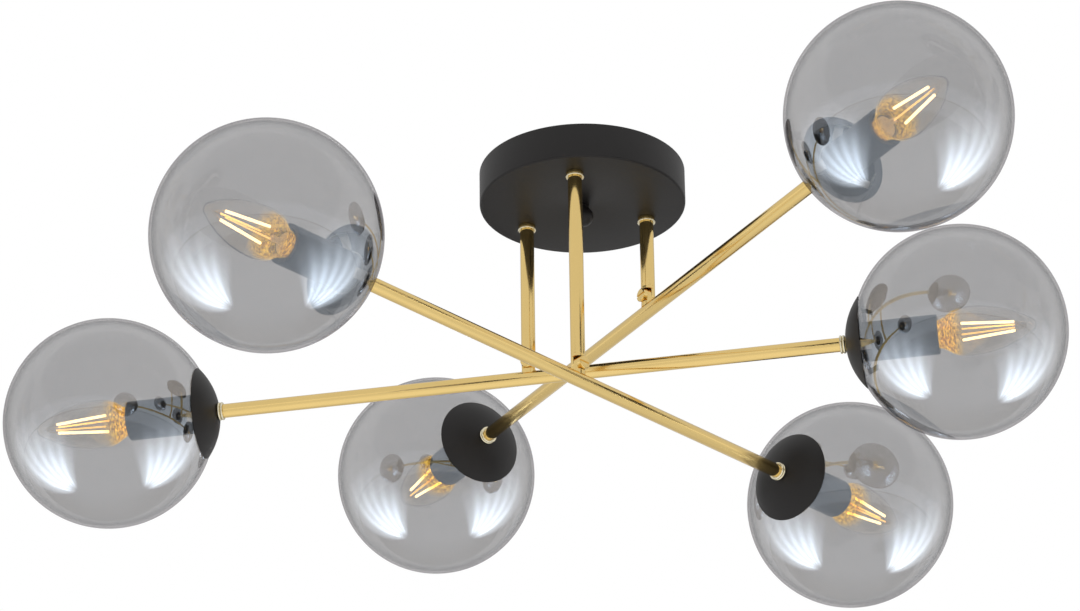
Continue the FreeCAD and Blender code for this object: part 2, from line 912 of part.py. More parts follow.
def make_rod_leads(arm):
    """Two leads through the rod, from one lampholder to the other."""
    length = getattr(s, f"arm_{arm}_length") - lead_end() * 2
    leads = []
    for side in (-1, 1):
        lead = cylinder(f"rod_lead_{arm}_{side}", s.lead_radius, length)
        start = Vector(-length.value / 2, side * s.rod_lead_spacing.value / 2, 0)
        lead.Placement = Placement(start, Rotation(Vector(0, 1, 0), 90))
        leads.append(lead)
    add_node(f"rod_leads_{arm}", group(f"rod_lead_group_{arm}", leads), rod_frame(arm))


def make_clip(name):
    """Spring plate with bowed legs that grip the glass from inside its mouth."""
    thickness = s.clip_thickness
    knee = leg(s.mouth_radius - s.free_gap, s.clip_leg_width / 2)
    knee_height = -s.clip_knee_drop
    body = new_body(name)
    plate = revolve(body, f"{name}_plate", [
        (s.neck_radius + s.running_fit, 0),
        (s.clip_radius, 0),
        (s.clip_radius, thickness),
        (s.neck_radius + s.running_fit, thickness),
    ])
    side = new_sketch(body, f"{name}_leg_side", "XZ_Plane")
    inner = s.clip_radius - thickness
    add_outline(side, [
        (inner, 0),
        (s.clip_bend_radius - thickness, 0),
        (knee - thickness, knee_height),
        (s.clip_tip_radius - thickness, -s.clip_tip_drop),
        (s.clip_tip_radius, -s.clip_tip_drop),
        (knee, knee_height),
        (s.clip_bend_radius, thickness),
        (inner, thickness),
    ])
    one_leg = pad(body, f"{name}_leg", side, s.clip_leg_width, symmetric=True)
    polar_pattern(body, f"{name}_legs", one_leg, (plate, ["V_Axis"]), CLIP_LEGS)
    return body


def make_cup_fixings(arm):
    """Ring outside each cup and spring clip inside it, at both ends of an arm."""
    pieces = []
    for side in (-1, 1):
        place = end_frame(arm, side)
        mark = "near" if side < 0 else "far"
        ring = grooved_ring(f"cup_ring_{arm}_{mark}", s.tube_radius + s.running_fit)
        ring.Placement = place.multiply(raised(cup_apex()))
        clip = make_clip(f"clip_{arm}_{mark}")
        upward = Placement(Vector(), Rotation(Vector(0, 0, 1), 90))
        clip.Placement = place.multiply(raised(clip_seat())).multiply(upward)
        pieces += [ring, clip]
    node = group(f"cup_fixing_group_{arm}", pieces)
    add_node(f"cup_fixings_{arm}", node, rod_frame(arm))


# Globe end, drawn about the globe's centre with Z towards the stem

def make_globe(number, place):
    """Blown globe of even wall with a cut mouth."""
    mouth = s.mouth_radius
    outer = s.globe_radius
    inner = outer - s.globe_wall
    body = turned_body(f"glass_{number}", [
        (mouth, leg(inner, mouth), inner),
        (mouth, leg(outer, mouth)),
        (0, -outer, -outer),
        (0, -inner),
    ])
    add_node(f"globe_{number}", body, place)


def make_cup(number, place):
    """Shallow spun dome whose slanted rim follows the glass."""
    glass = s.globe_radius + s.cup_gap
    dome = cup_dome_radius()
    centre = cup_apex() - dome
    inner_dome = dome - s.cup_wall
    inner_height = (glass * glass - inner_dome * inner_dome + centre * centre) / (centre * 2)
    hole = s.tube_radius + s.free_gap / 2
    body = turned_body(f"dome_{number}", [
        (hole, centre + leg(dome, hole)),
        (s.cup_rim_radius, cup_rim_height(), -dome),
        (leg(glass, inner_height), inner_height),
        (hole, centre + leg(inner_dome, hole), inner_dome),
    ])
    add_node(f"cup_{number}", body, place)


def make_lampholder(number, place):
    """Skirted housing on the rod's end, with its threaded sleeve and centre contact."""
    shoulder = clip_seat()
    top = holder_top()
    outer = s.holder_radius
    edge = s.holder_edge
    face = holder_face()
    skirt_floor = face + s.skirt_depth
    floor = socket_floor()
    web_top = floor + s.web_thickness
    sleeve_inner = s.cap_radius + s.free_gap
    sleeve_outer = sleeve_inner + s.socket_wall
    bore = s.tube_radius + s.running_fit
    housing = turned_body(f"housing_{number}", [
        (bore, top),
        (s.neck_radius, top),
        (s.neck_radius, shoulder),
        (outer - edge, shoulder),
        (outer, shoulder - edge, -edge),
        (outer, face + edge),
        (outer - edge, face, -edge),
        (s.skirt_radius, face),
        (s.skirt_radius, skirt_floor),
        (sleeve_outer + s.running_fit, skirt_floor),
        (sleeve_outer + s.running_fit, floor),
        (0, floor),
        (0, web_top),
        (s.chamber_radius, web_top),
        (s.chamber_radius, top - s.thread_depth),
        (bore, top - s.thread_depth),
    ])
    sleeve = turned_body(f"sleeve_{number}", [
        (sleeve_inner, skirt_floor + s.free_gap),
        (sleeve_outer, skirt_floor + s.free_gap),
        (sleeve_outer, floor),
        (sleeve_inner, floor),
    ])
    contact = cylinder(f"contact_{number}", s.contact_radius, s.contact_height)
    contact.Placement = raised(floor - s.contact_height)
    node = group(f"holder_group_{number}", [housing, sleeve, contact])
    add_node(f"lampholder_{number}", node, place)


def cap_end():
    """Distance of the lamp cap's end contact from the globe's centre."""
    return socket_floor() - s.contact_height - s.free_gap


def cap_start():
    """Distance of the lamp cap's rim from the globe's centre."""
    return cap_end() - s.cap_end_height - s.insulator_height - s.cap_length


def lamp_tip():
    """Distance of the lamp's tip beyond the globe's centre."""
    return s.globe_radius - s.globe_wall - s.lamp_tip_room


def lamp_arcs(offset):
    """Outline of the candle lamp from its tip to its neck, set in by an offset."""
    tip = lamp_tip()
    widest = s.lamp_belly_reach - holder_face()
    belly = s.lamp_belly_bend
    waist = s.lamp_waist_bend
    tip_bend = s.lamp_tip_bend
    tip_rise = tip - tip_bend - widest
    reach = s.lamp_radius * s.lamp_radius + tip_rise * tip_rise - tip_bend * tip_bend
    flank = reach / ((s.lamp_radius - tip_bend) * 2)
    tip_share = (tip_bend - offset) / (flank - tip_bend)
    across = s.lamp_base_radius + waist - s.lamp_radius + belly
    rise = leg(belly + waist, across)
    belly_share = (belly - offset) / (belly + waist)
    return [
        (0, offset - tip),
        (
            (flank - s.lamp_radius) * tip_share,
            tip_bend - tip - tip_rise * tip_share,
            tip_bend - offset,
        ),
        (s.lamp_radius - offset, -widest, flank - offset),
        (
            s.lamp_radius - belly + across * belly_share,
            rise * belly_share - widest,
            belly - offset,
        ),
        (s.lamp_base_radius - offset, rise - widest, -waist - offset),
    ]


def backwards(steps):
    """Return an open outline run from its end to its start."""
    radii = [None] + [-step[2] for step in reversed(steps[1:])]
    points = [step[:2] for step in reversed(steps)]
    return [point if radius is None else (*point, radius) for point, radius in zip(points, radii)]


def make_bulb_glass(number, place):
    """Candle-shaped envelope, drawn in to a throat inside the cap."""
    wall = s.lamp_wall
    throat = s.lamp_throat_radius
    base = cap_start() - s.free_gap
    end = cap_start() + s.lamp_throat_length
    body = turned_body(f"envelope_{number}", [
        *lamp_arcs(0),
        (s.lamp_base_radius, base - wall),
        (throat, base),
        (throat, end),
        (throat - wall, end),
        (throat - wall, base - wall),
        (s.lamp_base_radius - wall, base - wall * 2),
        *backwards(lamp_arcs(wall)),
    ])
    add_node(f"bulb_glass_{number}", body, place)


def make_filaments(number):
    """Axial filaments on a ring, each with a support from the stem and one to the tip."""
    radius = s.filament_radius.value
    thin = s.support_radius.value
    ring = s.filament_circle_radius.value
    start = (holder_face() - s.filament_reach).value
    finish = (s.filament_tip_gap - lamp_tip()).value
    neck = s.stem_neck_radius.value
    hub_height = (s.support_tip_gap - lamp_tip()).value
    seat_height = (holder_face() - s.stem_neck_reach).value
    solids = []
    for index in range(FILAMENTS):
        angle = math.radians(360 * (index + 0.5) / FILAMENTS)
        out = Vector(math.cos(angle), math.sin(angle), 0)
        hub = out * (neck / 2) + Vector(0, 0, hub_height)
        seat = out * (neck - thin) + Vector(0, 0, seat_height)
        near = out * ring + Vector(0, 0, start)
        far = out * ring + Vector(0, 0, finish)
        for first, last, size in ((seat, near, thin), (near, far, radius), (far, hub, thin)):
            run = last - first
            solids.append(Part.makeCylinder(size, run.Length, first, run))
    return loose_solids(f"filaments_{number}", solids)


def make_bulb_works(number, place):
    """Screw cap, glass stem and filaments of one lamp."""
    start = cap_start()
    rim = start + s.cap_length
    inner = s.cap_radius - s.cap_wall
    cap = turned_body(f"cap_{number}", [
        (inner, start),
        (s.cap_radius, start),
        (s.cap_radius, rim),
        (s.cap_end_radius, rim + s.insulator_height),
        (s.cap_end_radius, cap_end()),
        (0, cap_end()),
        (0, rim),
        (inner, rim),
    ])
    flare = start - s.free_gap * 2 - s.lamp_wall * 2
    face = holder_face()
    neck_end = face - s.stem_neck_reach
    stem = turned_body(f"glass_stem_{number}", [
        (0, neck_end),
        (s.stem_neck_radius, neck_end),
        (s.stem_neck_radius, face - s.stem_neck_start),
        (s.flare_radius, flare - s.lamp_wall),
        (s.flare_radius, flare),
        (0, flare),
    ])
    node = group(f"works_group_{number}", [cap, stem, make_filaments(number)])
    add_node(f"bulb_works_{number}", node, place)


def build():
    """Make every sub-part of the light."""
    make_bracket()
    make_stud()
    make_canopy()
    make_terminal_block()
    make_canopy_leads()
    make_ball_nut()
    for arm, numbers in ARMS.items():
        make_stem(arm)
        make_stem_fixings(arm)
        make_stem_knuckle(arm)
        make_knuckle_screw(arm)
        make_rod(arm)
        make_arm_knuckle(arm)
        make_rod_leads(arm)
        make_cup_fixings(arm)
        for number, side in zip(numbers, (-1, 1)):
            place = rod_frame(arm).multiply(end_frame(arm, side))
            make_cup(number, place)
            make_lampholder(number, place)
            make_globe(number, place)
            make_bulb_glass(number, place)
            make_bulb_works(number, place)


def check():
    """Stop if an object failed or a sub-part has no valid shape."""
    for item in doc.Objects:
        if "Invalid" in item.State or "Error" in item.State:
            raise RuntimeError(f"{item.Name} failed: {item.State}")
    for node in NODES:
        if node.Shape.isNull() or not node.Shape.isValid() or not node.Shape.Solids:
            raise RuntimeError(f"{node.Label} has no valid shape")


build()
doc.recompute()
check()
os.makedirs("parts", exist_ok=True)
for node in NODES:
    node.Shape.exportStep(f"parts/{node.Label}.step")
print(f"{len(NODES)} sub-parts, {sum(len(node.Shape.Solids) for node in NODES)} solids")
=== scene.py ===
import json
import math

import bpy
from mathutils import Matrix, Vector


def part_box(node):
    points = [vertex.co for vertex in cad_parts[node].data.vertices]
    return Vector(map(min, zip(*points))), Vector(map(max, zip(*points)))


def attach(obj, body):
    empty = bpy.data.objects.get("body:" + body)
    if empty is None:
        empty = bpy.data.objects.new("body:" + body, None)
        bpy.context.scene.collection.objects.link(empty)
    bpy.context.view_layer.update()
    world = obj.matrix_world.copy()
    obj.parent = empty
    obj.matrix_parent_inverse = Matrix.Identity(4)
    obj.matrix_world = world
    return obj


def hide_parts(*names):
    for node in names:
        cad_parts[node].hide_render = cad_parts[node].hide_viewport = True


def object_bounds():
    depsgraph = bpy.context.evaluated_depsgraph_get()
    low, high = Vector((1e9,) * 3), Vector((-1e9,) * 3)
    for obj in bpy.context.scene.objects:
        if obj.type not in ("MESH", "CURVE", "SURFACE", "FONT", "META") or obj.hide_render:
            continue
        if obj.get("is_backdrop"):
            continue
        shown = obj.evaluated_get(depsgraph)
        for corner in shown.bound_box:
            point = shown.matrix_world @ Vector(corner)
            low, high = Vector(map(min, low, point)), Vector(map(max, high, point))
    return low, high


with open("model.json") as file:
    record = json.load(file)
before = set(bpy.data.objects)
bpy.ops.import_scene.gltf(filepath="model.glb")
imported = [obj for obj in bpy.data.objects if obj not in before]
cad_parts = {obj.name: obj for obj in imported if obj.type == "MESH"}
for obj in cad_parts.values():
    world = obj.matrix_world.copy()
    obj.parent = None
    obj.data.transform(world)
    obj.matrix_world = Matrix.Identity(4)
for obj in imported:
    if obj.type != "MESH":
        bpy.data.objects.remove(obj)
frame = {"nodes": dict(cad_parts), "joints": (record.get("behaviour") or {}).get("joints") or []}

bl_info = {
    "name": "Ceiling Light",
    "version": (1, 0, 0),
    "blender": (4, 5, 0),
    "location": "3D View > Sidebar > Light",
    "description": "Builds the finishes, the glass and the stage of a ceiling light with six globes",
    "category": "Object",
}

CAD_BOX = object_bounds()
JOINTS = {joint["name"]: joint for joint in frame["joints"]}
# Each arm's globes: the one on its left end, then the one on its right end
ARMS = {"a": (1, 4), "b": (2, 5), "c": (3, 6)}


# Sizes and colours that a user may change

def length(name, text, size):
    """A length in metres."""
    return bpy.props.FloatProperty(name=name, description=text, default=size, unit="LENGTH", precision=5)


def angle(name, text, degrees):
    """An angle."""
    turned = math.radians(degrees)
    return bpy.props.FloatProperty(name=name, description=text, default=turned, subtype="ANGLE")


def number(name, text, value):
    """A plain number."""
    return bpy.props.FloatProperty(name=name, description=text, default=value)


def colour(name, text, value):
    """A colour."""
    return bpy.props.FloatVectorProperty(
        name=name, description=text, default=value, subtype="COLOR", min=0, max=1)


class GlobeSizes(bpy.types.PropertyGroup):
    radius: length("Globe radius", "Outer radius of a glass globe", 0.075)
    wall: length("Glass wall", "Wall of a globe", 0.0018)
    mouth: length("Mouth radius", "Radius of the hole that the lampholder passes", 0.027)
    lip: length("Lip rounding", "Width of the rounding on the mouth's edges", 0.0005)
    cup_proud: length("Cup depth", "Height of the cup's crown over the glass", 0.005)
    cup_rim: length("Cup rim radius", "Radius of the cup's rim", 0.0325)
    cup_wall: length("Cup wall", "Sheet of the cup", 0.001)
    cup_gap: length("Cup gap", "Gap between the cup's rim and the glass", 0.0003)
    cup_hole: length("Cup hole", "Radius of the hole for the rod", 0.00515)
    cup_edge: length("Cup edge", "Rounding of the cup's edges", 0.00025)


class HolderSizes(bpy.types.PropertyGroup):
    radius: length("Holder radius", "Outer radius of the lampholder", 0.014)
    face: length("Holder face", "Distance of the holder's face from the globe's centre", 0.015)
    edge: length("Holder edge", "Rounding of the holder's edges", 0.001)
    neck: length("Neck radius", "Radius of the neck under the cup", 0.010)
    neck_height: length("Neck height", "Height of the neck", 0.0048)
    skirt: length("Skirt radius", "Inner radius of the skirt round the lamp", 0.0112)
    skirt_depth: length("Skirt depth", "Depth of the skirt", 0.010)
    socket_depth: length("Socket depth", "Depth of the threaded sleeve", 0.022)
    web: length("Web", "Thickness of the socket's floor", 0.003)
    sleeve: length("Sleeve radius", "Inner radius of the threaded sleeve", 0.00725)
    sleeve_wall: length("Sleeve wall", "Sheet of the threaded sleeve", 0.0005)
    contact: length("Contact radius", "Radius of the centre contact", 0.0024)
    contact_height: length("Contact height", "Height of the centre contact", 0.0017)
    thread: length("Thread", "Height of the sleeve's thread", 0.0003)
    neck_gap: length("Neck gap", "Gap between the neck and the cup", 0.0003)


class LampSizes(bpy.types.PropertyGroup):
    radius: length("Lamp radius", "Widest radius of the lamp's glass", 0.0175)
    tip: length("Lamp tip", "Distance of the lamp's tip from the globe's centre", 0.053)
    tip_bend: length("Tip rounding", "Rounding of the lamp's tip", 0.005)
    widest: length("Widest place", "Distance of the widest place from the globe's centre", 0.006)
    base: length("Base radius", "Radius of the glass above the cap", 0.0092)
    wall: length("Lamp wall", "Wall of the lamp's glass", 0.0008)
    cap: length("Cap radius", "Radius of the screw cap", 0.00695)
    cap_length: length("Cap length", "Length of the screw cap", 0.018)
    filament: length("Filament radius", "Radius of the two bright filaments", 0.0010)
    faint: length("Faint filament radius", "Radius of the two filaments between them", 0.0006)
    filament_length: length("Filament length", "Length of a filament", 0.037)
    filament_ring: length("Filament ring", "Radius of the ring that the filaments stand on", 0.0052)
    filament_lean: length("Filament lean", "How far a filament's near end stands out from that ring", 0.0010)
    filament_start: length("Filament start", "Distance of the near ends from the globe's centre", 0.001)
    support: length("Support radius", "Radius of the wire supports", 0.0003)
    support_end: length("Support end", "Distance of the wires' far ends from the globe's centre", 0.046)
    cap_tip: length("Cap tip", "Length of the insulated tip of the cap", 0.004)
    crimp: length("Crimp", "Set-in of the cap's rim on the glass", 0.0006)
    gap: length("Gap", "Gap between pieces that almost touch", 0.0003)


class FrameSizes(bpy.types.PropertyGroup):
    tube: length("Tube radius", "Outer radius of rods and stems", 0.005)
    tube_wall: length("Tube wall", "Wall of rods and stems", 0.001)
    drop: length("Rod drop", "Drop of a rod's axis below its pivot", 0.011)
    arm_a: length("Arm a", "Length between the globes' centres", 0.586)
    arm_b: length("Arm b", "Length between the globes' centres", 0.608)
    arm_c: length("Arm c", "Length between the globes' centres", 0.633)
    collar: length("Collar radius", "Outer radius of the beaded collars", 0.0065)
    collar_height: length("Collar height", "Height of a beaded collar", 0.004)
    ring_rim: length("Ring rim", "Height of the pale rim of the ring under the canopy", 0.0012)
    ring_step: length("Ring step", "Set-back of the ring's side behind its rim", 0.0004)
    washer: length("Washer radius", "Radius of a stem's washer", 0.009)
    washer_sheet: length("Washer thickness", "Thickness of a stem's washer", 0.001)
    nut: length("Nut width", "Width of a stem's lock nut across its flats", 0.014)
    nut_height: length("Nut height", "Height of a stem's lock nut", 0.003)
    clip: length("Clip radius", "Radius of a spring clip's ring", 0.015)
    clip_sheet: length("Clip sheet", "Thickness of a spring clip", 0.0006)
    clip_leg: length("Clip leg", "Width of a spring clip's leg", 0.007)
    canopy: length("Canopy radius", "Radius of the canopy", 0.073)
    canopy_height: length("Canopy height", "Height of the canopy", 0.026)
    canopy_wall: length("Canopy wall", "Sheet of the canopy", 0.0012)
    canopy_edge: length("Canopy edge", "Rounding of the canopy's lower edge", 0.0016)
    ball: length("Ball radius", "Radius of the ball nut", 0.0075)
    ball_neck: length("Ball neck", "Radius of the ball nut's neck", 0.0045)
    ball_drop: length("Ball drop", "Drop of the ball's centre below the canopy", 0.0085)
    play: length("Play", "Gap between a tube and what slips over it", 0.00005)
    soft_edge: length("Soft edge", "Rounding of turned edges", 0.0002)


class LightColours(bpy.types.PropertyGroup):
    gold: colour("Gold", "Polished gold plate", (0.88, 0.64, 0.25))
    pale_gold: colour("Pale gold", "Plated collars", (0.86, 0.78, 0.56))
    black: colour("Black", "Satin black powder coat", (0.0125, 0.0108, 0.0105))
    plastic: colour("Plastic", "Black moulded plastic of the lampholders", (0.040, 0.042, 0.046))
    smoke: colour("Smoke", "Tint of the globes' glass", (0.575, 0.565, 0.56))
    film: colour("Film", "Tint of the reflections on the globes", (0.78, 0.88, 1.0))
    rim: colour("Rim", "What the glass lets through along its rim", (0.60, 0.59, 0.60))
    clear: colour("Clear glass", "Tint of the lamps' glass", (0.985, 0.965, 0.93))
    # Painted glow: amber and its darker ember streaks tint the lamp glass near its cap, and that glass also
    # emits them as the filaments' light painted on it. Peach is the glass stem's own tint, and the stem also
    # emits it as painted glow.
    amber: colour("Amber", "Glow of a lamp's glass near its cap", (0.95, 0.66, 0.09))
    ember: colour("Ember", "Darker streaks of that glow", (0.24, 0.11, 0.02))
    peach: colour("Peach", "Glass stem of a lamp", (0.84, 0.55, 0.22))
    glow: colour("Glow", "Light of the bright filaments", (1.0, 0.74, 0.36))
    coal: colour("Coal", "Light of the faint filaments", (0.48, 0.26, 0.06))
    zinc: colour("Zinc", "Plated steel", (0.62, 0.62, 0.60))
    brass: colour("Brass", "Screw caps and sleeves", (0.80, 0.62, 0.34))
    block: colour("Block", "Moulded terminal block", (0.80, 0.79, 0.74))
    lead: colour("Lead", "Sheath of the leads", (0.16, 0.09, 0.05))


class StageSettings(bpy.types.PropertyGroup):
    camera_place: bpy.props.FloatVectorProperty(
        name="Camera place", description="Where the camera stands",
        default=(0.0, -2.6444, -1.4450), subtype="XYZ", unit="LENGTH")
    yaw: angle("Yaw", "Turn of the view to the right", 0.21)
    pitch: angle("Pitch", "Rise of the view", 25.78)
    roll: angle("Roll", "Roll of the view", -1.13)
    focal: number("Focal length", "Focal length of the lens in millimetres", 140.91)
    shift_right: number("Shift right", "Shift of the frame to the right, in frame widths", -0.0554)
    shift_up: number("Shift up", "Shift of the frame upwards, in frame widths", 0.0742)
    floor_drop: length("Floor drop", "Height of the room", 2.4)
    sky: number("Sky", "Level of the soft light from all round", 0.85)
    panel: number("Panel", "Brightness of a soft panel in a reflection", 6.5)
    pale: colour("Floor", "Pale floor", (0.80, 0.80, 0.79))


# Finishes

class Signal:
    """A socket that can be calculated with. Each sum adds a Math node."""

    def __init__(self, finish, socket):
        self.finish = finish
        self.socket = socket

    def sibling(self, name):
        """Another output of the same node."""
        return Signal(self.finish, self.socket.node.outputs[name])

    def __add__(self, other):
        return self.finish.maths("ADD", self, other)

    __radd__ = __add__

    def __sub__(self, other):
        return self.finish.maths("SUBTRACT", self, other)

    def __rsub__(self, other):
        return self.finish.maths("SUBTRACT", other, self)

    def __mul__(self, other):
        return self.finish.maths("MULTIPLY", self, other)

    __rmul__ = __mul__


class Finish:
    """A material or a world, and its nodes."""

    def __init__(self, name, world=None):
        self.material = None if world else bpy.data.materials.new(name)
        holder = world or self.material
        holder.use_nodes = True
        self.tree = holder.node_tree
        self.tree.nodes.clear()

    def node(self, kind, settings=None, sockets=None, output=0):
        """Adds a node: its settings first, then the values or links of its sockets."""
        made = self.tree.nodes.new(kind)
        for name, value in (settings or {}).items():
            setattr(made, name, value)
        for name, value in (sockets or {}).items():
            if isinstance(value, Signal):
                self.tree.links.new(value.socket, made.inputs[name])
            else:
                made.inputs[name].default_value = value
        return Signal(self, made.outputs[output]) if made.outputs else None

    def maths(self, operation, *values):
        """A sum of one or two values."""
        return self.node("ShaderNodeMath", {"operation": operation}, dict(enumerate(values)))

    def fade(self, value, low, high, first=0.0, last=1.0, kind="SMOOTHSTEP"):
        """Goes from the first level to the last while the value goes from low to high."""
        return self.node("ShaderNodeMapRange", {"interpolation_type": kind}, {
            "Value": value, "From Min": low, "From Max": high, "To Min": first, "To Max": last})

    def mixed(self, factor, first, last):
        """Mixes two colours."""
        low, high = (shade if isinstance(shade, Signal) else (*shade, 1) for shade in (first, last))
        sockets = {"Factor": factor, 6: low, 7: high}
        return self.node("ShaderNodeMix", {"data_type": "RGBA"}, sockets, output=2)

    def layered(self, factor, first, last):
        """Mixes two shaders."""
        return self.node("ShaderNodeMixShader", None, {0: factor, 1: first, 2: last})

    def see_through(self, shade=(1, 1, 1)):
        """Lets the light straight through, tinted."""
        return self.node("ShaderNodeBsdfTransparent", None, {"Color": (*shade, 1)})

    def place(self):
        """Place on the object."""
        return self.node("ShaderNodeTexCoord", output="Object")

    def mark(self, name):
        """A measure that the piece's points carry."""
        return self.node("ShaderNodeAttribute", {"attribute_name": name}, output="Fac")

    def noise(self, scale, detail=2.0, stretch=(1, 1, 1)):
        """Cloudy noise from 0 to 1 on the object."""
        mapped = self.node("ShaderNodeMapping", None, {"Vector": self.place(), "Scale": stretch})
        return self.node("ShaderNodeTexNoise", None, {"Vector": mapped, "Scale": scale, "Detail": detail})

    def tint(self, base, amount, mask):
        """A colour that is lighter and darker by an amount, as the mask says."""
        low = tuple(channel * (1 - amount) for channel in base)
        high = tuple(min(1, channel * (1 + amount)) for channel in base)
        return self.mixed(mask, low, high)

    def bump(self, height, distance):
        """A bumpy normal. The distance is in metres."""
        return self.node("ShaderNodeBump", None, {"Height": height, "Distance": distance, "Strength": 1.0})

    def surface(self, shader):
        """Puts a shader on the material's output."""
        self.node("ShaderNodeOutputMaterial", None, {"Surface": shader})
        return self.material

    def principled(self, **sockets):
        """Adds the main shader. Underscores in names stand for spaces."""
        named = {name.replace("_", " "): value for name, value in sockets.items()}
        return self.node("ShaderNodeBsdfPrincipled", None, named)


def gold_finish():
    """Mirror-polished gold plate with faint polishing clouds."""
    gold = Finish("gold_plate")
    cloud = gold.noise(35, 3)
    wipe = gold.noise(240, 2)
    return gold.surface(gold.principled(
        Base_Color=gold.tint(colours().gold, 0.05, cloud),
        Metallic=1.0,
        Roughness=0.11 + cloud * 0.05 + wipe * 0.03,
    ))


def black_finish():
    """Satin black powder coat with its fine orange peel."""
    black = Finish("satin_black_coat")
    grain = black.noise(900, 3)
    cloud = black.noise(22, 2)
    return black.surface(black.principled(
        Base_Color=black.tint(colours().black, 0.18, cloud),
        Specular_IOR_Level=0.36,
        Roughness=0.38 + cloud * 0.08 + grain * 0.08,
        Normal=black.bump(grain, 0.00004),
    ))


def plastic_finish():
    """Black moulded plastic."""
    plastic = Finish("holder_plastic")
    cloud = plastic.noise(60, 2)
    return plastic.surface(plastic.principled(
        Base_Color=plastic.tint(colours().plastic, 0.2, cloud),
        Roughness=0.32 + cloud * 0.1,
        Normal=plastic.bump(plastic.noise(1400, 2), 0.00001),
    ))


def open_to_lamps(finish, glass, tint):
    """Glass that lets the light of lamps and of the sky reach what it shuts in, through one wall's tint."""
    shadow = finish.node("ShaderNodeLightPath", output="Is Shadow Ray")
    spread = shadow.sibling("Is Diffuse Ray")
    wall = finish.see_through(tuple(math.sqrt(channel) for channel in tint))
    return finish.layered(shadow + spread, glass, wall)


def smoke_finish():
    """Smoke-grey glass with a faint metallic film, slightly cloudy in its tint and darker along its rim."""
    smoke = Finish("smoked_glass")
    cloud = smoke.noise(9, 2)
    glass = smoke.principled(
        Base_Color=smoke.tint(colours().smoke, 0.04, cloud),
        Roughness=0.0,
        IOR=2.3,
        Specular_Tint=(*colours().film, 1),
        Transmission_Weight=1.0,
        Normal=smoke.bump(smoke.noise(14, 1), 0.00025),
    )
    facing = smoke.node("ShaderNodeLayerWeight", output="Facing")
    rim = smoke.fade(facing, 0.6, 1.0)
    edged = smoke.layered(rim, glass, smoke.see_through(colours().rim))
    return smoke.surface(open_to_lamps(smoke, edged, colours().smoke))


def clear_finish():
    """Clear lamp glass, tinted amber towards its cap, with the filaments' light painted on there as a
    streaky glow that it emits.
    """
    clear = Finish("lamp_glass")
    along = clear.mark("along")
    amber = clear.fade(along, -0.003, 0.008)
    dim = clear.fade(along, 0.018, 0.014)
    # Painted glow: streaks that mix the ember and amber colours into the glass's tint and into its emission
    # near the cap.
    streak = clear.node("ShaderNodeTexNoise", {"noise_dimensions": "4D"}, {
        "Vector": clear.place(), "W": along * 2.5, "Scale": 430})
    tint_and_painted_glow = clear.mixed(clear.fade(streak, 0.34, 0.66), colours().ember, colours().amber)
    glass = clear.principled(
        Base_Color=clear.mixed(amber, colours().clear, tint_and_painted_glow),
        Roughness=0.0,
        IOR=1.15,
        Transmission_Weight=1.0,
        # Painted glow: the glass near the cap emits the amber streaks, standing in for the light of the
        # filaments.
        Emission_Color=clear.mixed(amber * dim, (0, 0, 0), tint_and_painted_glow),
        Emission_Strength=0.6,
    )
    return clear.surface(open_to_lamps(clear, glass, colours().clear))


def stem_finish():
    """Glass stem of a lamp, with the amber light of its filaments painted on as a glow that it emits."""
    stem = Finish("lamp_stem_glass")
    cloud = stem.noise(300, 2)
    return stem.surface(stem.principled(
        Base_Color=stem.tint(colours().peach, 0.12, cloud),
        Roughness=0.18 + cloud * 0.1,
        # Painted glow: the stem emits its own peach tint, standing in for the light of the filaments.
        Emission_Color=stem.tint(colours().peach, 0.2, cloud),
        Emission_Strength=0.5,
    ))


def metal_finish(name, base, rough, scale, stretch=(1, 1, 1)):
    """Plain plated metal with fine uneven streaks."""
    metal = Finish(name)
    streak = metal.noise(scale, 4, stretch)
    return metal.surface(metal.principled(
        Base_Color=metal.tint(base, 0.08, streak),
        Metallic=1.0,
        Roughness=rough + streak * 0.16,
        Normal=metal.bump(streak, 0.00002),
    ))


def moulded_finish(name, base, rough):
    """Moulded plastic with a matt grain."""
    moulded = Finish(name)
    cloud = moulded.noise(120, 3)
    return moulded.surface(moulded.principled(
        Base_Color=moulded.tint(base, 0.08, cloud),
        Roughness=rough + cloud * 0.12,
        Normal=moulded.bump(moulded.noise(1600, 2), 0.00002),
    ))


def glow_finish():
    """Glowing filaments: two bright ones, and two amber ones between them."""
    glow = Finish("filament_glow")
    bright = glow.tint(colours().glow, 0.12, glow.noise(700, 2))
    return glow.surface(glow.principled(
        Base_Color=(*colours().glow, 1),
        Roughness=0.6,
        Emission_Color=glow.mixed(glow.mark("lit"), colours().coal, bright),
        Emission_Strength=4.5,
    ))


FINISHES = {}


def finish(name):
    """The finish of that name, made once."""
    makers = {
        "gold": gold_finish,
        "black": black_finish,
        "plastic": plastic_finish,
        "smoke": smoke_finish,
        "clear": clear_finish,
        "stem": stem_finish,
        "glow": glow_finish,
        "zinc": lambda: metal_finish("zinc_plate", colours().zinc, 0.3, 160, (1, 6, 1)),
        "brass": lambda: metal_finish("cap_brass", colours().brass, 0.18, 200),
        "collar": lambda: metal_finish("collar_plate", colours().pale_gold, 0.1, 90),
        "block": lambda: moulded_finish("block_plastic", colours().block, 0.45),
        "lead": lambda: moulded_finish("lead_sheath", colours().lead, 0.4),
    }
    if name not in FINISHES:
        FINISHES[name] = makers[name]()
    return FINISHES[name]


def settings(name):
    """A group of the scene's sizes."""
    return getattr(bpy.context.scene, f"light_{name}")


def colours():
    """The scene's colours."""
    return settings("colours")


# Modelling

def start():
    """Leaves edit mode and deselects everything."""
    if bpy.context.mode != "OBJECT":
        bpy.ops.object.mode_set(mode="OBJECT")
    bpy.ops.object.select_all(action="DESELECT")


def only(piece):
    """Selects one piece and makes it the active one."""
    start()
    piece.select_set(True)
    bpy.context.view_layer.objects.active = piece


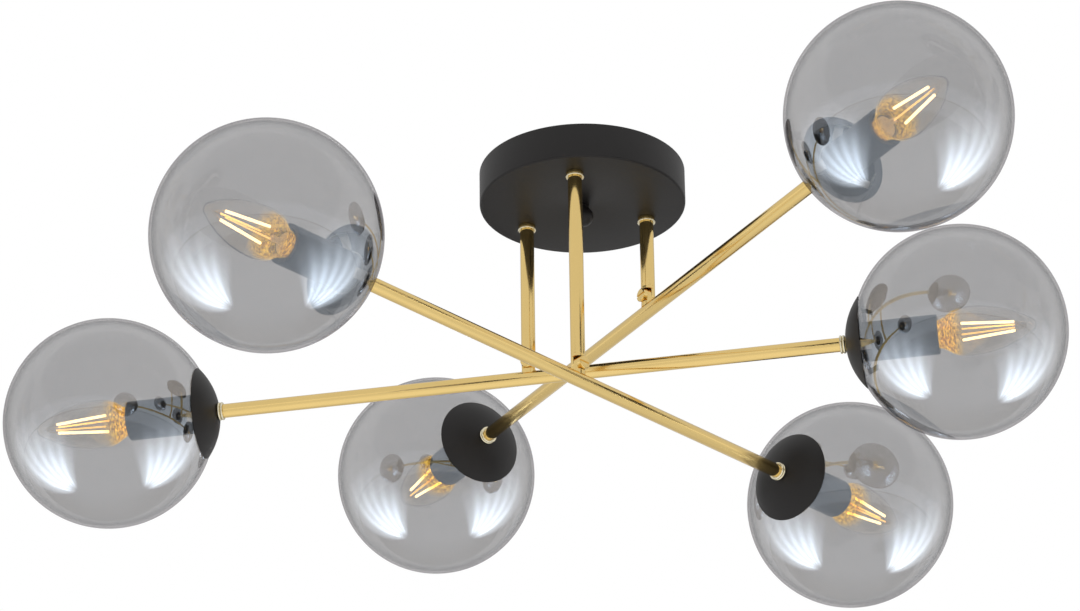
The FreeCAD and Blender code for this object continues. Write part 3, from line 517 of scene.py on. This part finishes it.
def applied():
    """Moves the active piece's place, turn and size into its mesh."""
    bpy.ops.object.transform_apply(location=True, rotation=True, scale=True)


def bend(centre, radius, first, last, steps):
    """Points of an arc, with angles in degrees."""
    points = []
    for step in range(steps + 1):
        turned = math.radians(first + (last - first) * step / steps)
        points.append((centre[0] + radius * math.cos(turned), centre[1] + radius * math.sin(turned)))
    return points


def drawn(name, profile, closed=True):
    """Draws a line through points in the XZ plane with one vertex, and stays in edit mode."""
    start()
    bpy.ops.mesh.primitive_plane_add(size=0.001)
    piece = bpy.context.active_object
    piece.name = name
    bpy.ops.object.mode_set(mode="EDIT")
    bpy.ops.mesh.merge(type="CENTER")
    bpy.ops.transform.translate(value=(profile[0][0], 0, profile[0][1]))
    ends = profile[1:] + profile[:1] if closed else profile[1:]
    for before, after in zip(profile, ends):
        step = (after[0] - before[0], 0, after[1] - before[1])
        bpy.ops.mesh.extrude_region_move(TRANSFORM_OT_translate={"value": step})
    bpy.ops.mesh.select_all(action="SELECT")
    return piece


def turn(name, profile, segments=64):
    """Draws half of a section and spins it round the Z axis into a closed piece."""
    piece = drawn(name, profile)
    bpy.ops.mesh.spin(steps=segments, angle=math.tau, center=(0, 0, 0), axis=(0, 0, 1))
    bpy.ops.mesh.select_all(action="SELECT")
    bpy.ops.mesh.remove_doubles(threshold=0.000002)
    bpy.ops.mesh.normals_make_consistent(inside=False)
    bpy.ops.object.mode_set(mode="OBJECT")
    return piece


def hoop(name, bore, radius, low, high):
    """A plain ring or tube round the Z axis."""
    return turn(name, [(bore, low), (radius, low), (radius, high), (bore, high)])


def bar(sides, radius, length, middle=(0, 0, 0)):
    """A straight bar along the Z axis, round or with flats."""
    start()
    bpy.ops.mesh.primitive_cylinder_add(vertices=sides, radius=radius, depth=length, location=middle)
    return bpy.context.active_object


def modified(piece, kind, **values):
    """Adds a modifier with its values to the active piece and applies it."""
    modifier = piece.modifiers.new(kind.lower(), kind)
    for name, value in values.items():
        setattr(modifier, name, value)
    bpy.ops.object.modifier_apply(modifier=modifier.name)
    return piece


def strap(name, path, width, thickness):
    """Bends a strip of sheet along a path in the XZ plane."""
    piece = drawn(name, path, closed=False)
    bpy.ops.transform.translate(value=(0, -width / 2, 0))
    bpy.ops.mesh.extrude_region_move(TRANSFORM_OT_translate={"value": (0, width, 0)})
    bpy.ops.mesh.select_all(action="SELECT")
    bpy.ops.mesh.normals_make_consistent(inside=False)
    bpy.ops.object.mode_set(mode="OBJECT")
    return modified(piece, "SOLIDIFY", thickness=thickness, offset=0)


def joined(pieces):
    """Joins pieces into the first one."""
    only(pieces[0])
    for piece in pieces[1:]:
        piece.select_set(True)
    bpy.ops.object.join()
    return bpy.context.active_object


def finished(piece, bevel=0, sharp=50, segments=3):
    """Rounds the edges that bend by more than the sharp angle, in degrees, and smooths the rest."""
    only(piece)
    limit = math.radians(sharp)
    if bevel:
        modified(piece, "BEVEL", width=bevel, segments=segments, limit_method="ANGLE", angle_limit=limit)
    bpy.ops.object.shade_smooth_by_angle(angle=limit)
    return piece


def marked(piece, name, measure):
    """Marks each point with a measure of its place, for finishes that change over the piece."""
    marks = piece.data.attributes.new(name, "FLOAT", "POINT")
    for point, mark in zip(piece.data.vertices, marks.data):
        mark.value = measure(point.co)
    return piece


def placed(master, name, matrix):
    """Copies a piece with its own mesh to a place, and applies the place to the mesh."""
    only(master)
    bpy.ops.object.duplicate()
    piece = bpy.context.active_object
    piece.name = name
    piece.matrix_world = matrix
    applied()
    return piece


def scrap(*masters):
    """Deletes masters that were copied."""
    for master in masters:
        only(master)
        bpy.ops.object.delete()


def dressed(piece, body, nodes, slot, finish_name):
    """Gives a piece its finish and its body, and hides the CAD nodes that it stands for."""
    piece.data.materials.clear()
    piece.data.materials.append(finish(finish_name))
    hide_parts(*nodes)
    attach(piece, body)


def arm_frame(arm):
    """Frame of an arm at its pivot: X along the rod and Z up."""
    tilt = JOINTS[f"tilt_{arm}"]
    along = Vector(JOINTS[f"globe_{ARMS[arm][1]}_off"]["axis"])
    across = -Vector(tilt["axis"])
    up = along.cross(across)
    turned = Matrix((along, across, up)).transposed().to_4x4()
    return Matrix.Translation(tilt["pos_m"]) @ turned


def rod_frame(arm):
    """Frame at the middle of an arm's rod."""
    return arm_frame(arm) @ Matrix.Translation((0, 0, -settings("frame").drop))


def end_frame(arm, side):
    """Frame at a globe's centre, with Z towards the stem and Y up."""
    half = getattr(settings("frame"), f"arm_{arm}") / 2
    z = Vector((-side, 0, 0))
    y = Vector((0, 0, 1))
    turned = Matrix((y.cross(z), y, z)).transposed().to_4x4()
    return rod_frame(arm) @ Matrix.Translation((side * half, 0, 0)) @ turned


def ends():
    """Each globe's arm, number and frame."""
    for arm, numbers in ARMS.items():
        for globe, side in zip(numbers, (-1, 1)):
            yield arm, globe, end_frame(arm, side)


def leg(long_side, short_side):
    """The other short side of a right triangle."""
    return math.sqrt(long_side * long_side - short_side * short_side)


def cup_dome():
    """Height of the cup's crown, its outer radius and the height of its centre."""
    g = settings("globe")
    crown = g.radius + g.cup_proud
    rim_height = leg(g.radius + g.cup_gap, g.cup_rim)
    rise = crown - rim_height
    dome = (g.cup_rim * g.cup_rim + rise * rise) / (2 * rise)
    return crown, dome, crown - dome


def holder_top():
    """Height of the holder's neck, just inside the cup."""
    h = settings("holder")
    _, dome, centre = cup_dome()
    return centre + leg(dome - settings("globe").cup_wall, h.neck) - h.neck_gap


def socket_floor():
    """Height of the floor of the holder's threaded socket."""
    h = settings("holder")
    return h.face + h.skirt_depth + h.socket_depth


def arc_through(start_point, end_point, centre, steps):
    """Points of an arc about a centre on the axis."""
    first = math.degrees(math.atan2(start_point[1] - centre, start_point[0]))
    last = math.degrees(math.atan2(end_point[1] - centre, end_point[0]))
    radius = math.hypot(start_point[0], start_point[1] - centre)
    return bend((0, centre), radius, first, last, steps)


class LIGHT_OT_globes(bpy.types.Operator):
    """Blows the six smoked globes and cuts their mouths"""
    bl_idname = "light.globes"
    bl_label = "Globes"

    def execute(self, context):
        g = settings("globe")
        start()
        bpy.ops.mesh.primitive_uv_sphere_add(segments=144, ring_count=72, radius=g.radius)
        master = context.active_object
        bpy.ops.object.mode_set(mode="EDIT")
        bpy.ops.mesh.select_all(action="SELECT")
        mouth = leg(g.radius, g.mouth)
        bpy.ops.mesh.bisect(plane_co=(0, 0, mouth), plane_no=(0, 0, 1), clear_outer=True)
        bpy.ops.object.mode_set(mode="OBJECT")
        modified(master, "SOLIDIFY", thickness=g.wall, offset=-1)
        finished(master, g.lip)
        for _, globe, place in ends():
            piece = placed(master, f"glass_globe_{globe}", place)
            dressed(piece, f"globe_{globe}", [f"globe_{globe}"], "smoked_glass", "smoke")
        scrap(master)
        return {"FINISHED"}


class LIGHT_OT_cups(bpy.types.Operator):
    """Spins the shallow black cups that the globes rest in"""
    bl_idname = "light.cups"
    bl_label = "Cups"

    def execute(self, context):
        g = settings("globe")
        _, dome, centre = cup_dome()
        inner = dome - g.cup_wall
        seat = g.radius + g.cup_gap
        inner_height = (seat * seat - inner * inner + centre * centre) / (2 * centre)
        hole = g.cup_hole
        steps = 22
        rim = (g.cup_rim, leg(seat, g.cup_rim))
        outside = arc_through((hole, centre + leg(dome, hole)), rim, centre, steps)
        inner_edge = (leg(seat, inner_height), inner_height)
        inside = arc_through(inner_edge, (hole, centre + leg(inner, hole)), centre, steps)
        master = turn("cup", outside + inside, 128)
        finished(master, g.cup_edge, 40)
        for arm, globe, place in ends():
            piece = placed(master, f"black_cup_{globe}", place)
            dressed(piece, f"arm_{arm}", [f"cup_{globe}"], "black_metal", "black")
        scrap(master)
        return {"FINISHED"}


class LIGHT_OT_holders(bpy.types.Operator):
    """Turns the lampholders, their threaded sleeves and their contacts"""
    bl_idname = "light.holders"
    bl_label = "Lampholders"

    def execute(self, context):
        h = settings("holder")
        tube = settings("frame").tube
        top = holder_top()
        shoulder = top - h.neck_height
        ledge = h.face + h.skirt_depth
        floor = socket_floor()
        sleeve = h.sleeve + h.sleeve_wall
        edge = h.edge
        profile = [(tube, top), (h.neck, top), (h.neck, shoulder)]
        profile += bend((h.radius - edge, shoulder - edge), edge, 90, 0, 5)
        profile += bend((h.radius - edge, h.face + edge), edge, 0, -90, 5)
        profile += [
            (h.skirt, h.face),
            (h.skirt, ledge),
            (sleeve, ledge),
            (sleeve, floor),
            (0, floor),
            (0, floor + h.web),
            (tube, floor + h.web),
        ]
        housing = finished(turn("housing", profile, 96), settings("frame").soft_edge, 40)
        turns = 24
        pitch = (floor - ledge) / turns
        thread = []
        for step in range(turns + 1):
            bulge = h.thread if step % 2 else 0
            thread.append((h.sleeve + bulge, ledge + pitch * step))
        back = [(radius + h.thread, height) for radius, height in reversed(thread)]
        socket = finished(turn("sleeve", thread + back))
        tip = floor - h.contact_height
        slope = floor - h.contact_height * 0.6
        dome = [(0, tip), (h.contact * 0.7, tip), (h.contact, slope), (h.contact, floor), (0, floor)]
        socket = joined([socket, finished(turn("contact", dome, 32))])
        for arm, globe, place in ends():
            nodes = [f"lampholder_{globe}"]
            outer = placed(housing, f"holder_housing_{globe}", place)
            dressed(outer, f"arm_{arm}", nodes, "black_plastic", "plastic")
            inner = placed(socket, f"holder_sleeve_{globe}", place)
            dressed(inner, f"arm_{arm}", nodes, "lamp_brass", "brass")
        scrap(housing, socket)
        return {"FINISHED"}


def lamp_outline(offset):
    """Outline of the candle lamp from its tip to its base, set in by an offset."""
    m = settings("lamp")
    steps = 14
    rise = m.tip - m.tip_bend - m.widest
    flank = (m.radius ** 2 + rise ** 2 - m.tip_bend ** 2) / (2 * (m.radius - m.tip_bend))
    lean = math.degrees(math.asin(rise / (flank - m.tip_bend)))
    points = bend((0, m.tip_bend - m.tip), m.tip_bend - offset, -90, -lean, 6)[:-1]
    points += bend((m.radius - flank, -m.widest), flank - offset, -lean, 0, steps)
    belly, waist = 0.024, 0.020
    across = m.base + waist - m.radius + belly
    turned = math.degrees(math.acos(across / (belly + waist)))
    points += bend((m.radius - belly, -m.widest), belly - offset, 0, turned, steps)[1:]
    height = leg(belly + waist, across) - m.widest
    points += bend((m.base + waist, height), waist + offset, 180 + turned, 180, steps)[1:]
    return points


class LIGHT_OT_lamps(bpy.types.Operator):
    """Makes the candle lamps: glass, screw cap, glass stem and four filaments"""
    bl_idname = "light.lamps"
    bl_label = "Lamps"

    def execute(self, context):
        m = settings("lamp")
        cap_end = socket_floor() - settings("holder").contact_height - m.gap
        cap_start = cap_end - m.cap_tip - m.cap_length
        base = cap_start - m.gap
        filaments, wires = self.filaments(m)
        parts = (
            ("envelope", self.envelope(m, base), "bulb_glass", "clear_glass", "clear"),
            ("cap", self.cap(m, cap_start, cap_end), "bulb_works", "lamp_brass", "brass"),
            ("stem", self.stem(base - m.wall * 2 - m.gap), "bulb_works", "clear_glass", "stem"),
            ("filaments", filaments, "bulb_works", "lamp_brass", "glow"),
            ("wires", wires, "bulb_works", "lamp_brass", "brass"),
        )
        # The lamps on the right ends are screwed in a quarter turn further
        quarter = Matrix.Rotation(math.radians(90), 4, "Z")
        for arm, globe, place in ends():
            if globe == ARMS[arm][1]:
                place = place @ quarter
            for name, master, node, slot, finish_name in parts:
                piece = placed(master, f"lamp_{name}_{globe}", place)
                dressed(piece, f"bulb_{globe}", [f"{node}_{globe}"], slot, finish_name)
        scrap(*(part[1] for part in parts))
        return {"FINISHED"}

    def envelope(self, m, base):
        """The lamp's glass, marked with the distance along it."""
        rim = m.cap - m.crimp
        outer = lamp_outline(0) + [(m.base, base - m.wall), (rim, base)]
        inner = lamp_outline(m.wall) + [(m.base - m.wall, base - m.wall * 2), (rim - m.wall, base - m.wall)]
        glass = finished(turn("lamp_envelope", outer + inner[::-1], 80))
        return marked(glass, "along", lambda point: point.z)

    def cap(self, m, first, last):
        """The screw cap with its ribs and its tip."""
        crown = first + m.cap_length
        inside = m.cap - m.crimp * 2
        tip = 0.0024
        ribs, spacing, groove = 29, 0.0005, 0.00045
        profile = [(m.cap - m.crimp, first), (m.cap, first + 0.0002)]
        for step in range(ribs):
            profile.append((m.cap - (groove if step % 2 else 0), first + 0.002 + spacing * step))
        profile += [(m.cap - 0.0004, crown), (tip, last - 0.002), (tip, last - 0.0004), (0.0018, last)]
        profile += [(0, last), (0, crown), (inside, crown), (inside, first)]
        return finished(turn("lamp_cap", profile))

    def stem(self, flare):
        """The glass stem that carries the filaments' wires, with its flare in the lamp's neck."""
        profile = [(0, 0.004), (0.0016, 0.0042), (0.0022, 0.0052), (0.0022, 0.0095), (0.0028, 0.0118)]
        profile += [(0.0046, 0.0138), (0.0074, 0.0152), (0.0079, 0.0160), (0.0077, flare), (0, flare)]
        return finished(turn("lamp_stem", profile, 48))

    def filaments(self, m):
        """Two bright and two faint filaments on a ring, and the wires that hold them."""
        strips, wires = [], []
        root, root_ring, top_ring = Vector((0, 0, 0.004)), 0.0019, 0.0011
        start_z = -m.filament_start
        end_z = start_z - m.filament_length
        for index in range(4):
            turned = math.radians(90 * (index + 0.5))
            out = Vector((math.cos(turned), math.sin(turned), 0))
            foot = out * (m.filament_ring + m.filament_lean) + Vector((0, 0, start_z))
            head = out * (m.filament_ring - 2 * m.filament_lean) + Vector((0, 0, end_z))
            radius = m.filament if index % 2 else m.faint
            strips.append(self.strut(foot, head, radius, 12))
            wires.append(self.strut(out * root_ring + root, foot, m.support, 8))
            top = out * top_ring - Vector((0, 0, m.support_end))
            wires.append(self.strut(head, top, m.support, 8))
        made = [finished(joined(group)) for group in (strips, wires)]
        marked(made[0], "lit", lambda point: float(point.x * point.y < 0))
        return made

    def strut(self, first, last, radius, sides):
        """A thin round strut with rounded ends between two points."""
        run = last - first
        piece = finished(bar(sides, radius, run.length), radius * 0.6, 60, 2)
        turned = run.to_track_quat("Z", "Y").to_matrix().to_4x4()
        piece.matrix_world = Matrix.Translation((first + last) / 2) @ turned
        applied()
        return piece


def stem_place(arm):
    """Heights of a stem's ends, and the frame on its axis."""
    low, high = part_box(f"stem_tube_{arm}")
    middle = (low + high) / 2
    return low.z, high.z, Matrix.Translation((middle.x, middle.y, 0))


class LIGHT_OT_tubes(bpy.types.Operator):
    """Draws the rods of the arms and the stems"""
    bl_idname = "light.tubes"
    bl_label = "Rods and stems"

    def execute(self, context):
        f = settings("frame")
        depth_in_holder = 0.0057
        rod_end = holder_top() - depth_in_holder
        lying = Matrix.Rotation(math.radians(90), 4, "Y")
        for arm in ARMS:
            half = getattr(f, f"arm_{arm}") / 2 - rod_end
            place = rod_frame(arm) @ lying
            self.tube(f, f"gold_rod_{arm}", (-half, half), place, f"arm_{arm}", f"rod_{arm}")
            *levels, place = stem_place(arm)
            self.tube(f, f"gold_stem_{arm}", levels, place, f"stem_{arm}", f"stem_tube_{arm}")
        return {"FINISHED"}

    def tube(self, f, name, levels, place, body, node):
        """A gold tube between two levels, with softened ends."""
        master = finished(hoop("tube", f.tube - f.tube_wall, f.tube, *levels), f.soft_edge, 40)
        dressed(placed(master, name, place), body, [node], "gold_metal", "gold")
        scrap(master)


class LIGHT_OT_cup_fixings(bpy.types.Operator):
    """Makes the beaded collar outside each cup and the spring clip inside it"""
    bl_idname = "light.cup_fixings"
    bl_label = "Cup fixings"

    def execute(self, context):
        f = settings("frame")
        collar = self.collar(f, cup_dome()[0])
        clip = self.clip(f, holder_top() - settings("holder").neck_height)
        for arm, globe, place in ends():
            body, nodes = f"arm_{arm}", [f"cup_fixings_{arm}"]
            dressed(placed(collar, f"cup_collar_{globe}", place), body, nodes, "gold_metal", "collar")
            dressed(placed(clip, f"spring_clip_{globe}", place), body, nodes, "gold_metal", "zinc")
        scrap(collar, clip)
        return {"FINISHED"}

    def collar(self, f, base):
        """A ring with two round beads."""
        bore = f.tube + f.play
        bead = f.collar_height / 4
        profile = [(bore, base)]
        for level in (base + bead, base + 3 * bead):
            profile += bend((f.collar - bead, level), bead, -80, 80, 8)
        profile.append((bore, base + f.collar_height))
        return finished(turn("collar", profile))

    def clip(self, f, seat):
        """A flat ring with three bowed legs of spring sheet that grip the glass."""
        g = settings("globe")
        inner = settings("holder").neck + f.play
        sheet = f.clip_sheet
        mouth_gap = 0.0003
        knee = leg(g.mouth - mouth_gap, f.clip_leg / 2) - sheet / 2
        ring = hoop("clip_ring", inner, f.clip, seat, seat + sheet)
        middle = seat + sheet / 2
        bow = [(f.clip - 0.0008, 0), (0.0180, 0), (0.0195, 0.0003), (0.0212, 0.0011)]
        bow += [(knee - 0.0014, 0.0030), (knee - 0.0003, 0.0038), (knee, 0.0046), (knee - 0.0004, 0.0056)]
        bow += [(0.0239, 0.0095), (0.0223, 0.0122), (0.0227, 0.0129)]
        path = [(out, middle - drop) for out, drop in bow]
        legs = [ring]
        for turned in (90, 210, 330):
            bent = strap("clip_leg", path, f.clip_leg, sheet)
            bent.rotation_euler.z = math.radians(turned)
            applied()
            legs.append(bent)
        return finished(joined(legs), 0, 40)


class LIGHT_OT_stem_fixings(bpy.types.Operator):
    """Makes the ring with its pale rim under the canopy, and the washer and lock nut above its sheet"""
    bl_idname = "light.stem_fixings"
    bl_label = "Stem fixings"

    def execute(self, context):
        f = settings("frame")
        bore = f.tube + f.play
        bead = f.ring_rim / 2
        top = -f.canopy_height
        low = top - f.collar_height
        joint = low + f.ring_rim
        side = f.collar - f.ring_step
        ring = finished(hoop("stem_ring", bore, side, joint, top), f.soft_edge, 40)
        rim_profile = [(bore, low), *bend((f.collar - bead, low + bead), bead, -90, 90, 10), (bore, joint)]
        rim = finished(turn("stem_rim", rim_profile))
        fixing = self.lock_nut(f, bore, f.canopy_wall - f.canopy_height)
        for arm in ARMS:
            *_, place = stem_place(arm)
            body, nodes = f"stem_{arm}", [f"stem_fixings_{arm}"]
            dressed(placed(ring, f"stem_ring_{arm}", place), body, nodes, "gold_metal", "gold")
            dressed(placed(rim, f"stem_rim_{arm}", place), body, nodes, "gold_metal", "collar")
            dressed(placed(fixing, f"stem_lock_nut_{arm}", place), body, nodes, "gold_metal", "gold")
        scrap(ring, rim, fixing)
        return {"FINISHED"}

    def lock_nut(self, f, bore, seat):
        """A flat washer with a hexagonal nut on it."""
        face = seat + f.washer_sheet
        burr, chamfer = 0.00015, 0.0004
        washer = finished(hoop("washer", bore, f.washer, seat, face), burr, 40)
        middle = (0, 0, face + f.nut_height / 2)
        nut = bar(6, f.nut / math.sqrt(3), f.nut_height, middle)
        drill = bar(64, bore, f.nut_height * 2, middle)
        only(nut)
        modified(nut, "BOOLEAN", operation="DIFFERENCE", solver="EXACT", object=drill)
        applied()
        finished(nut, chamfer, 40)
        scrap(drill)
        return joined([washer, nut])


class LIGHT_OT_canopy(bpy.types.Operator):
    """Spins the black canopy and turns its ball nut"""
    bl_idname = "light.canopy"
    bl_label = "Canopy"

    def execute(self, context):
        f = settings("frame")
        edge, wall, bottom = f.canopy_edge, f.canopy_wall, -f.canopy_height
        hole = 0.0028
        profile = [(hole, bottom)]
        profile += bend((f.canopy - edge, bottom + edge), edge, -90, 0, 8)
        profile += [(f.canopy, 0), (f.canopy - wall, 0)]
        profile += bend((f.canopy - edge, bottom + edge), edge - wall, 0, -90, 4)
        profile += [(hole, bottom + wall)]
        canopy = finished(turn("black_canopy", profile, 192), f.soft_edge, 40)
        dressed(canopy, "base", ["canopy"], "black_metal", "black")
        drop = f.ball_drop
        neck = f.ball_neck
        lean = math.degrees(math.asin(leg(f.ball, neck) / f.ball))
        thread = 0.00255
        thread_end = bottom - 0.009
        ball_profile = [(thread, bottom), (neck, bottom)]
        ball_profile += bend((0, bottom - drop), f.ball, lean, -90, 24)
        ball_profile += [(0, thread_end), (thread, thread_end)]
        ball = finished(turn("black_ball_nut", ball_profile), 0.0001, 40)
        dressed(ball, "ball_nut", ["ball_nut"], "black_metal", "black")
        return {"FINISHED"}


class LIGHT_OT_plain_nodes(bpy.types.Operator):
    """Gives the CAD parts that stay their finishes"""
    bl_idname = "light.plain_nodes"
    bl_label = "Small parts"

    def execute(self, context):
        kept = {"ceiling_bracket": "zinc", "centre_stud": "zinc"}
        kept.update(terminal_block="block", canopy_leads="lead")
        for arm in ARMS:
            for name in ("stem_knuckle", "knuckle_screw", "arm_knuckle"):
                kept[f"{name}_{arm}"] = "gold"
            kept[f"rod_leads_{arm}"] = "lead"
        for name, finish_name in kept.items():
            node = frame["nodes"][name]
            node.data.materials.clear()
            node.data.materials.append(finish(finish_name))
        return {"FINISHED"}


class LIGHT_OT_stage(bpy.types.Operator):
    """Sets up the floor, the soft light, the white backdrop and the camera"""
    bl_idname = "light.stage"
    bl_label = "Stage"

    def execute(self, context):
        s = settings("stage")
        self.floor(s)
        self.sky(context, s)
        self.lamps()
        self.camera(context, s)
        context.scene.view_settings.view_transform = "Standard"
        return {"FINISHED"}

    def floor(self, s):
        """A pale round floor that is seen from above only, and not in plain reflections."""
        start()
        bpy.ops.mesh.primitive_circle_add(
            vertices=96, radius=6, fill_type="NGON", location=(0, 0, -s.floor_drop))
        floor = bpy.context.active_object
        floor.name = "floor"
        applied()
        paint = Finish("floor_paint")
        below = paint.node("ShaderNodeNewGeometry", output="Backfacing")
        matt = paint.node("ShaderNodeBsdfDiffuse", None, {"Color": (*s.pale, 1)})
        hidden = paint.maths("MAXIMUM", below, self.mirrored(paint))
        floor.data.materials.append(paint.surface(paint.layered(hidden, matt, paint.see_through())))
        floor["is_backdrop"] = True

    def mirrored(self, finish):
        """1 where the ray comes from a reflection."""
        shiny = finish.node("ShaderNodeLightPath", output="Is Glossy Ray")
        return shiny * (1 - shiny.sibling("Is Transmission Ray"))

    def sky(self, context, s):
        """White behind the object, plain light all round, and what the object reflects."""
        world = bpy.data.worlds.new("studio")
        context.scene.world = world
        air = Finish("studio", world)
        seen = air.node("ShaderNodeLightPath", output="Is Camera Ray")
        through = seen.sibling("Is Transmission Ray")
        sharp = seen.sibling("Is Singular Ray")
        shiny = self.mirrored(air)
        way = air.node("ShaderNodeTexCoord", output="Generated")
        height = air.node("ShaderNodeSeparateXYZ", None, {"Vector": way}, output="Z")
        fans = self.fan(air, way, (-0.40, 0.32, -0.86), (-0.94, 0.0, -0.34))
        fans = fans + self.fan(air, way, (0.43, 0.43, -0.79), (0.94, 0.0, -0.30))
        white = (1 - s.sky) * (seen + through)
        upward = 0.35 * air.fade(height, 0.0, 0.6) * (1 - seen) * (1 - through)
        plain = s.sky + white - upward
        level = plain * (1 - shiny) + (self.room(air, height) + fans * sharp * s.panel) * shiny
        tone = air.mixed(fans * shiny, (1, 1, 1), (0.93, 0.96, 1.0))
        back = air.node("ShaderNodeBackground", None, {"Color": tone, "Strength": level})
        air.node("ShaderNodeOutputWorld", None, {"Surface": back})

    def room(self, air, height):
        """What plain metal reflects: a horizon with a dark seam, a lighter floor and a darker back."""
        band = air.fade(height, -0.16, -0.10, 0.80, 0.95, "LINEAR")
        seam = air.fade(air.maths("ABSOLUTE", height + 0.13), 0.003, 0.010, 0.45, 1.0, "LINEAR")
        shade = air.fade(height, 0.04, 0.16, 1.0, 0.80)
        low = air.fade(height, -0.45, -0.85, 1.0, 1.2)
        behind = air.fade(height.sibling("Y"), 0.15, 0.75, 1.0, 0.78)
        return band * seam * shade * low * behind

    def fan(self, air, way, hub, out):
        """A ribbed soft light that opens from its hub outwards."""
        middle = Vector(hub).normalized()
        along = (Vector(out) - middle * middle.dot(out)).normalized()
        dot = {"operation": "DOT_PRODUCT"}
        a, b, c = (
            air.node("ShaderNodeVectorMath", dot, {0: way, 1: axis}, output="Value")
            for axis in (along, middle.cross(along), middle))
        turned = air.maths("ARCTAN2", b, a)
        spread = air.maths("SQRT", a * a + b * b)
        side = air.maths("ABSOLUTE", turned)
        mask = 0.84 + 0.16 * air.maths("COSINE", turned * 19)
        limits = ((side, 1.15, 0.50), (spread, 0.03, 0.22), (spread, 1.02, 0.30), (c, 0.0, 0.3))
        for value, low, high in limits:
            mask = mask * air.fade(value, low, high)
        return mask

    def lamps(self):
        """Two large soft lamps, low on the left and low on the right."""
        for place in ((-2.6, 0.4, -2.2), (1.75, -0.3, -2.2)):
            start()
            bpy.ops.object.light_add(type="AREA", location=place)
            lamp = bpy.context.active_object
            lamp.rotation_euler = Vector(place).to_track_quat("Z", "Y").to_euler()
            lamp.data.shape = "DISK"
            lamp.data.size = 2
            lamp.data.energy = 12
            lamp.visible_camera = False
            lamp.visible_glossy = False
            lamp.visible_transmission = False

    def camera(self, context, s):
        """The camera at the photograph's place."""
        ahead = Vector((math.sin(s.yaw), math.cos(s.yaw), 0))
        forward = ahead * math.cos(s.pitch) + Vector((0, 0, math.sin(s.pitch)))
        right = Vector((math.cos(s.yaw), -math.sin(s.yaw), 0))
        up = right.cross(forward)
        rolled = right * math.cos(s.roll) + up * math.sin(s.roll)
        upright = up * math.cos(s.roll) - right * math.sin(s.roll)
        start()
        bpy.ops.object.camera_add()
        camera = context.active_object
        turned = Matrix((rolled, upright, -forward)).transposed().to_4x4()
        camera.matrix_world = Matrix.Translation(s.camera_place) @ turned
        camera.data.sensor_width = 36
        camera.data.lens = s.focal
        camera.data.shift_x = s.shift_right
        camera.data.shift_y = s.shift_up
        camera.data.clip_end = 50
        context.scene.camera = camera


OPERATORS = (
    LIGHT_OT_globes, LIGHT_OT_cups, LIGHT_OT_holders, LIGHT_OT_lamps, LIGHT_OT_tubes,
    LIGHT_OT_cup_fixings, LIGHT_OT_stem_fixings, LIGHT_OT_canopy, LIGHT_OT_plain_nodes, LIGHT_OT_stage,
)
GROUPS = {
    "globe": GlobeSizes, "holder": HolderSizes, "lamp": LampSizes,
    "frame": FrameSizes, "colours": LightColours, "stage": StageSettings,
}


class LIGHT_PT_build(bpy.types.Panel):
    """Lists the steps that build the light"""
    bl_idname = "LIGHT_PT_build"
    bl_label = "Ceiling light"
    bl_space_type = "VIEW_3D"
    bl_region_type = "UI"
    bl_category = "Light"

    def draw(self, context):
        for operator in OPERATORS:
            self.layout.operator(operator.bl_idname)
        for name in GROUPS:
            group = getattr(context.scene, f"light_{name}")
            column = self.layout.column()
            for size in group.bl_rna.properties:
                if size.identifier not in ("rna_type", "name"):
                    column.prop(group, size.identifier)


def register():
    """Registers the groups, the operators and the panel."""
    for name, group in GROUPS.items():
        bpy.utils.register_class(group)
        setattr(bpy.types.Scene, f"light_{name}", bpy.props.PointerProperty(type=group))
    for made in (*OPERATORS, LIGHT_PT_build):
        bpy.utils.register_class(made)


def unregister():
    """Removes what register adds."""
    for made in (LIGHT_PT_build, *reversed(OPERATORS)):
        bpy.utils.unregister_class(made)
    for name, group in GROUPS.items():
        delattr(bpy.types.Scene, f"light_{name}")
        bpy.utils.unregister_class(group)


def main():
    """Builds the light."""
    register()
    for operator in OPERATORS:
        group, name = operator.bl_idname.split(".")
        getattr(getattr(bpy.ops, group), name)()
    start()
    boxes = [[list(corner) for corner in box] for box in (CAD_BOX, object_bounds())]


if __name__ == "__main__":
    main()
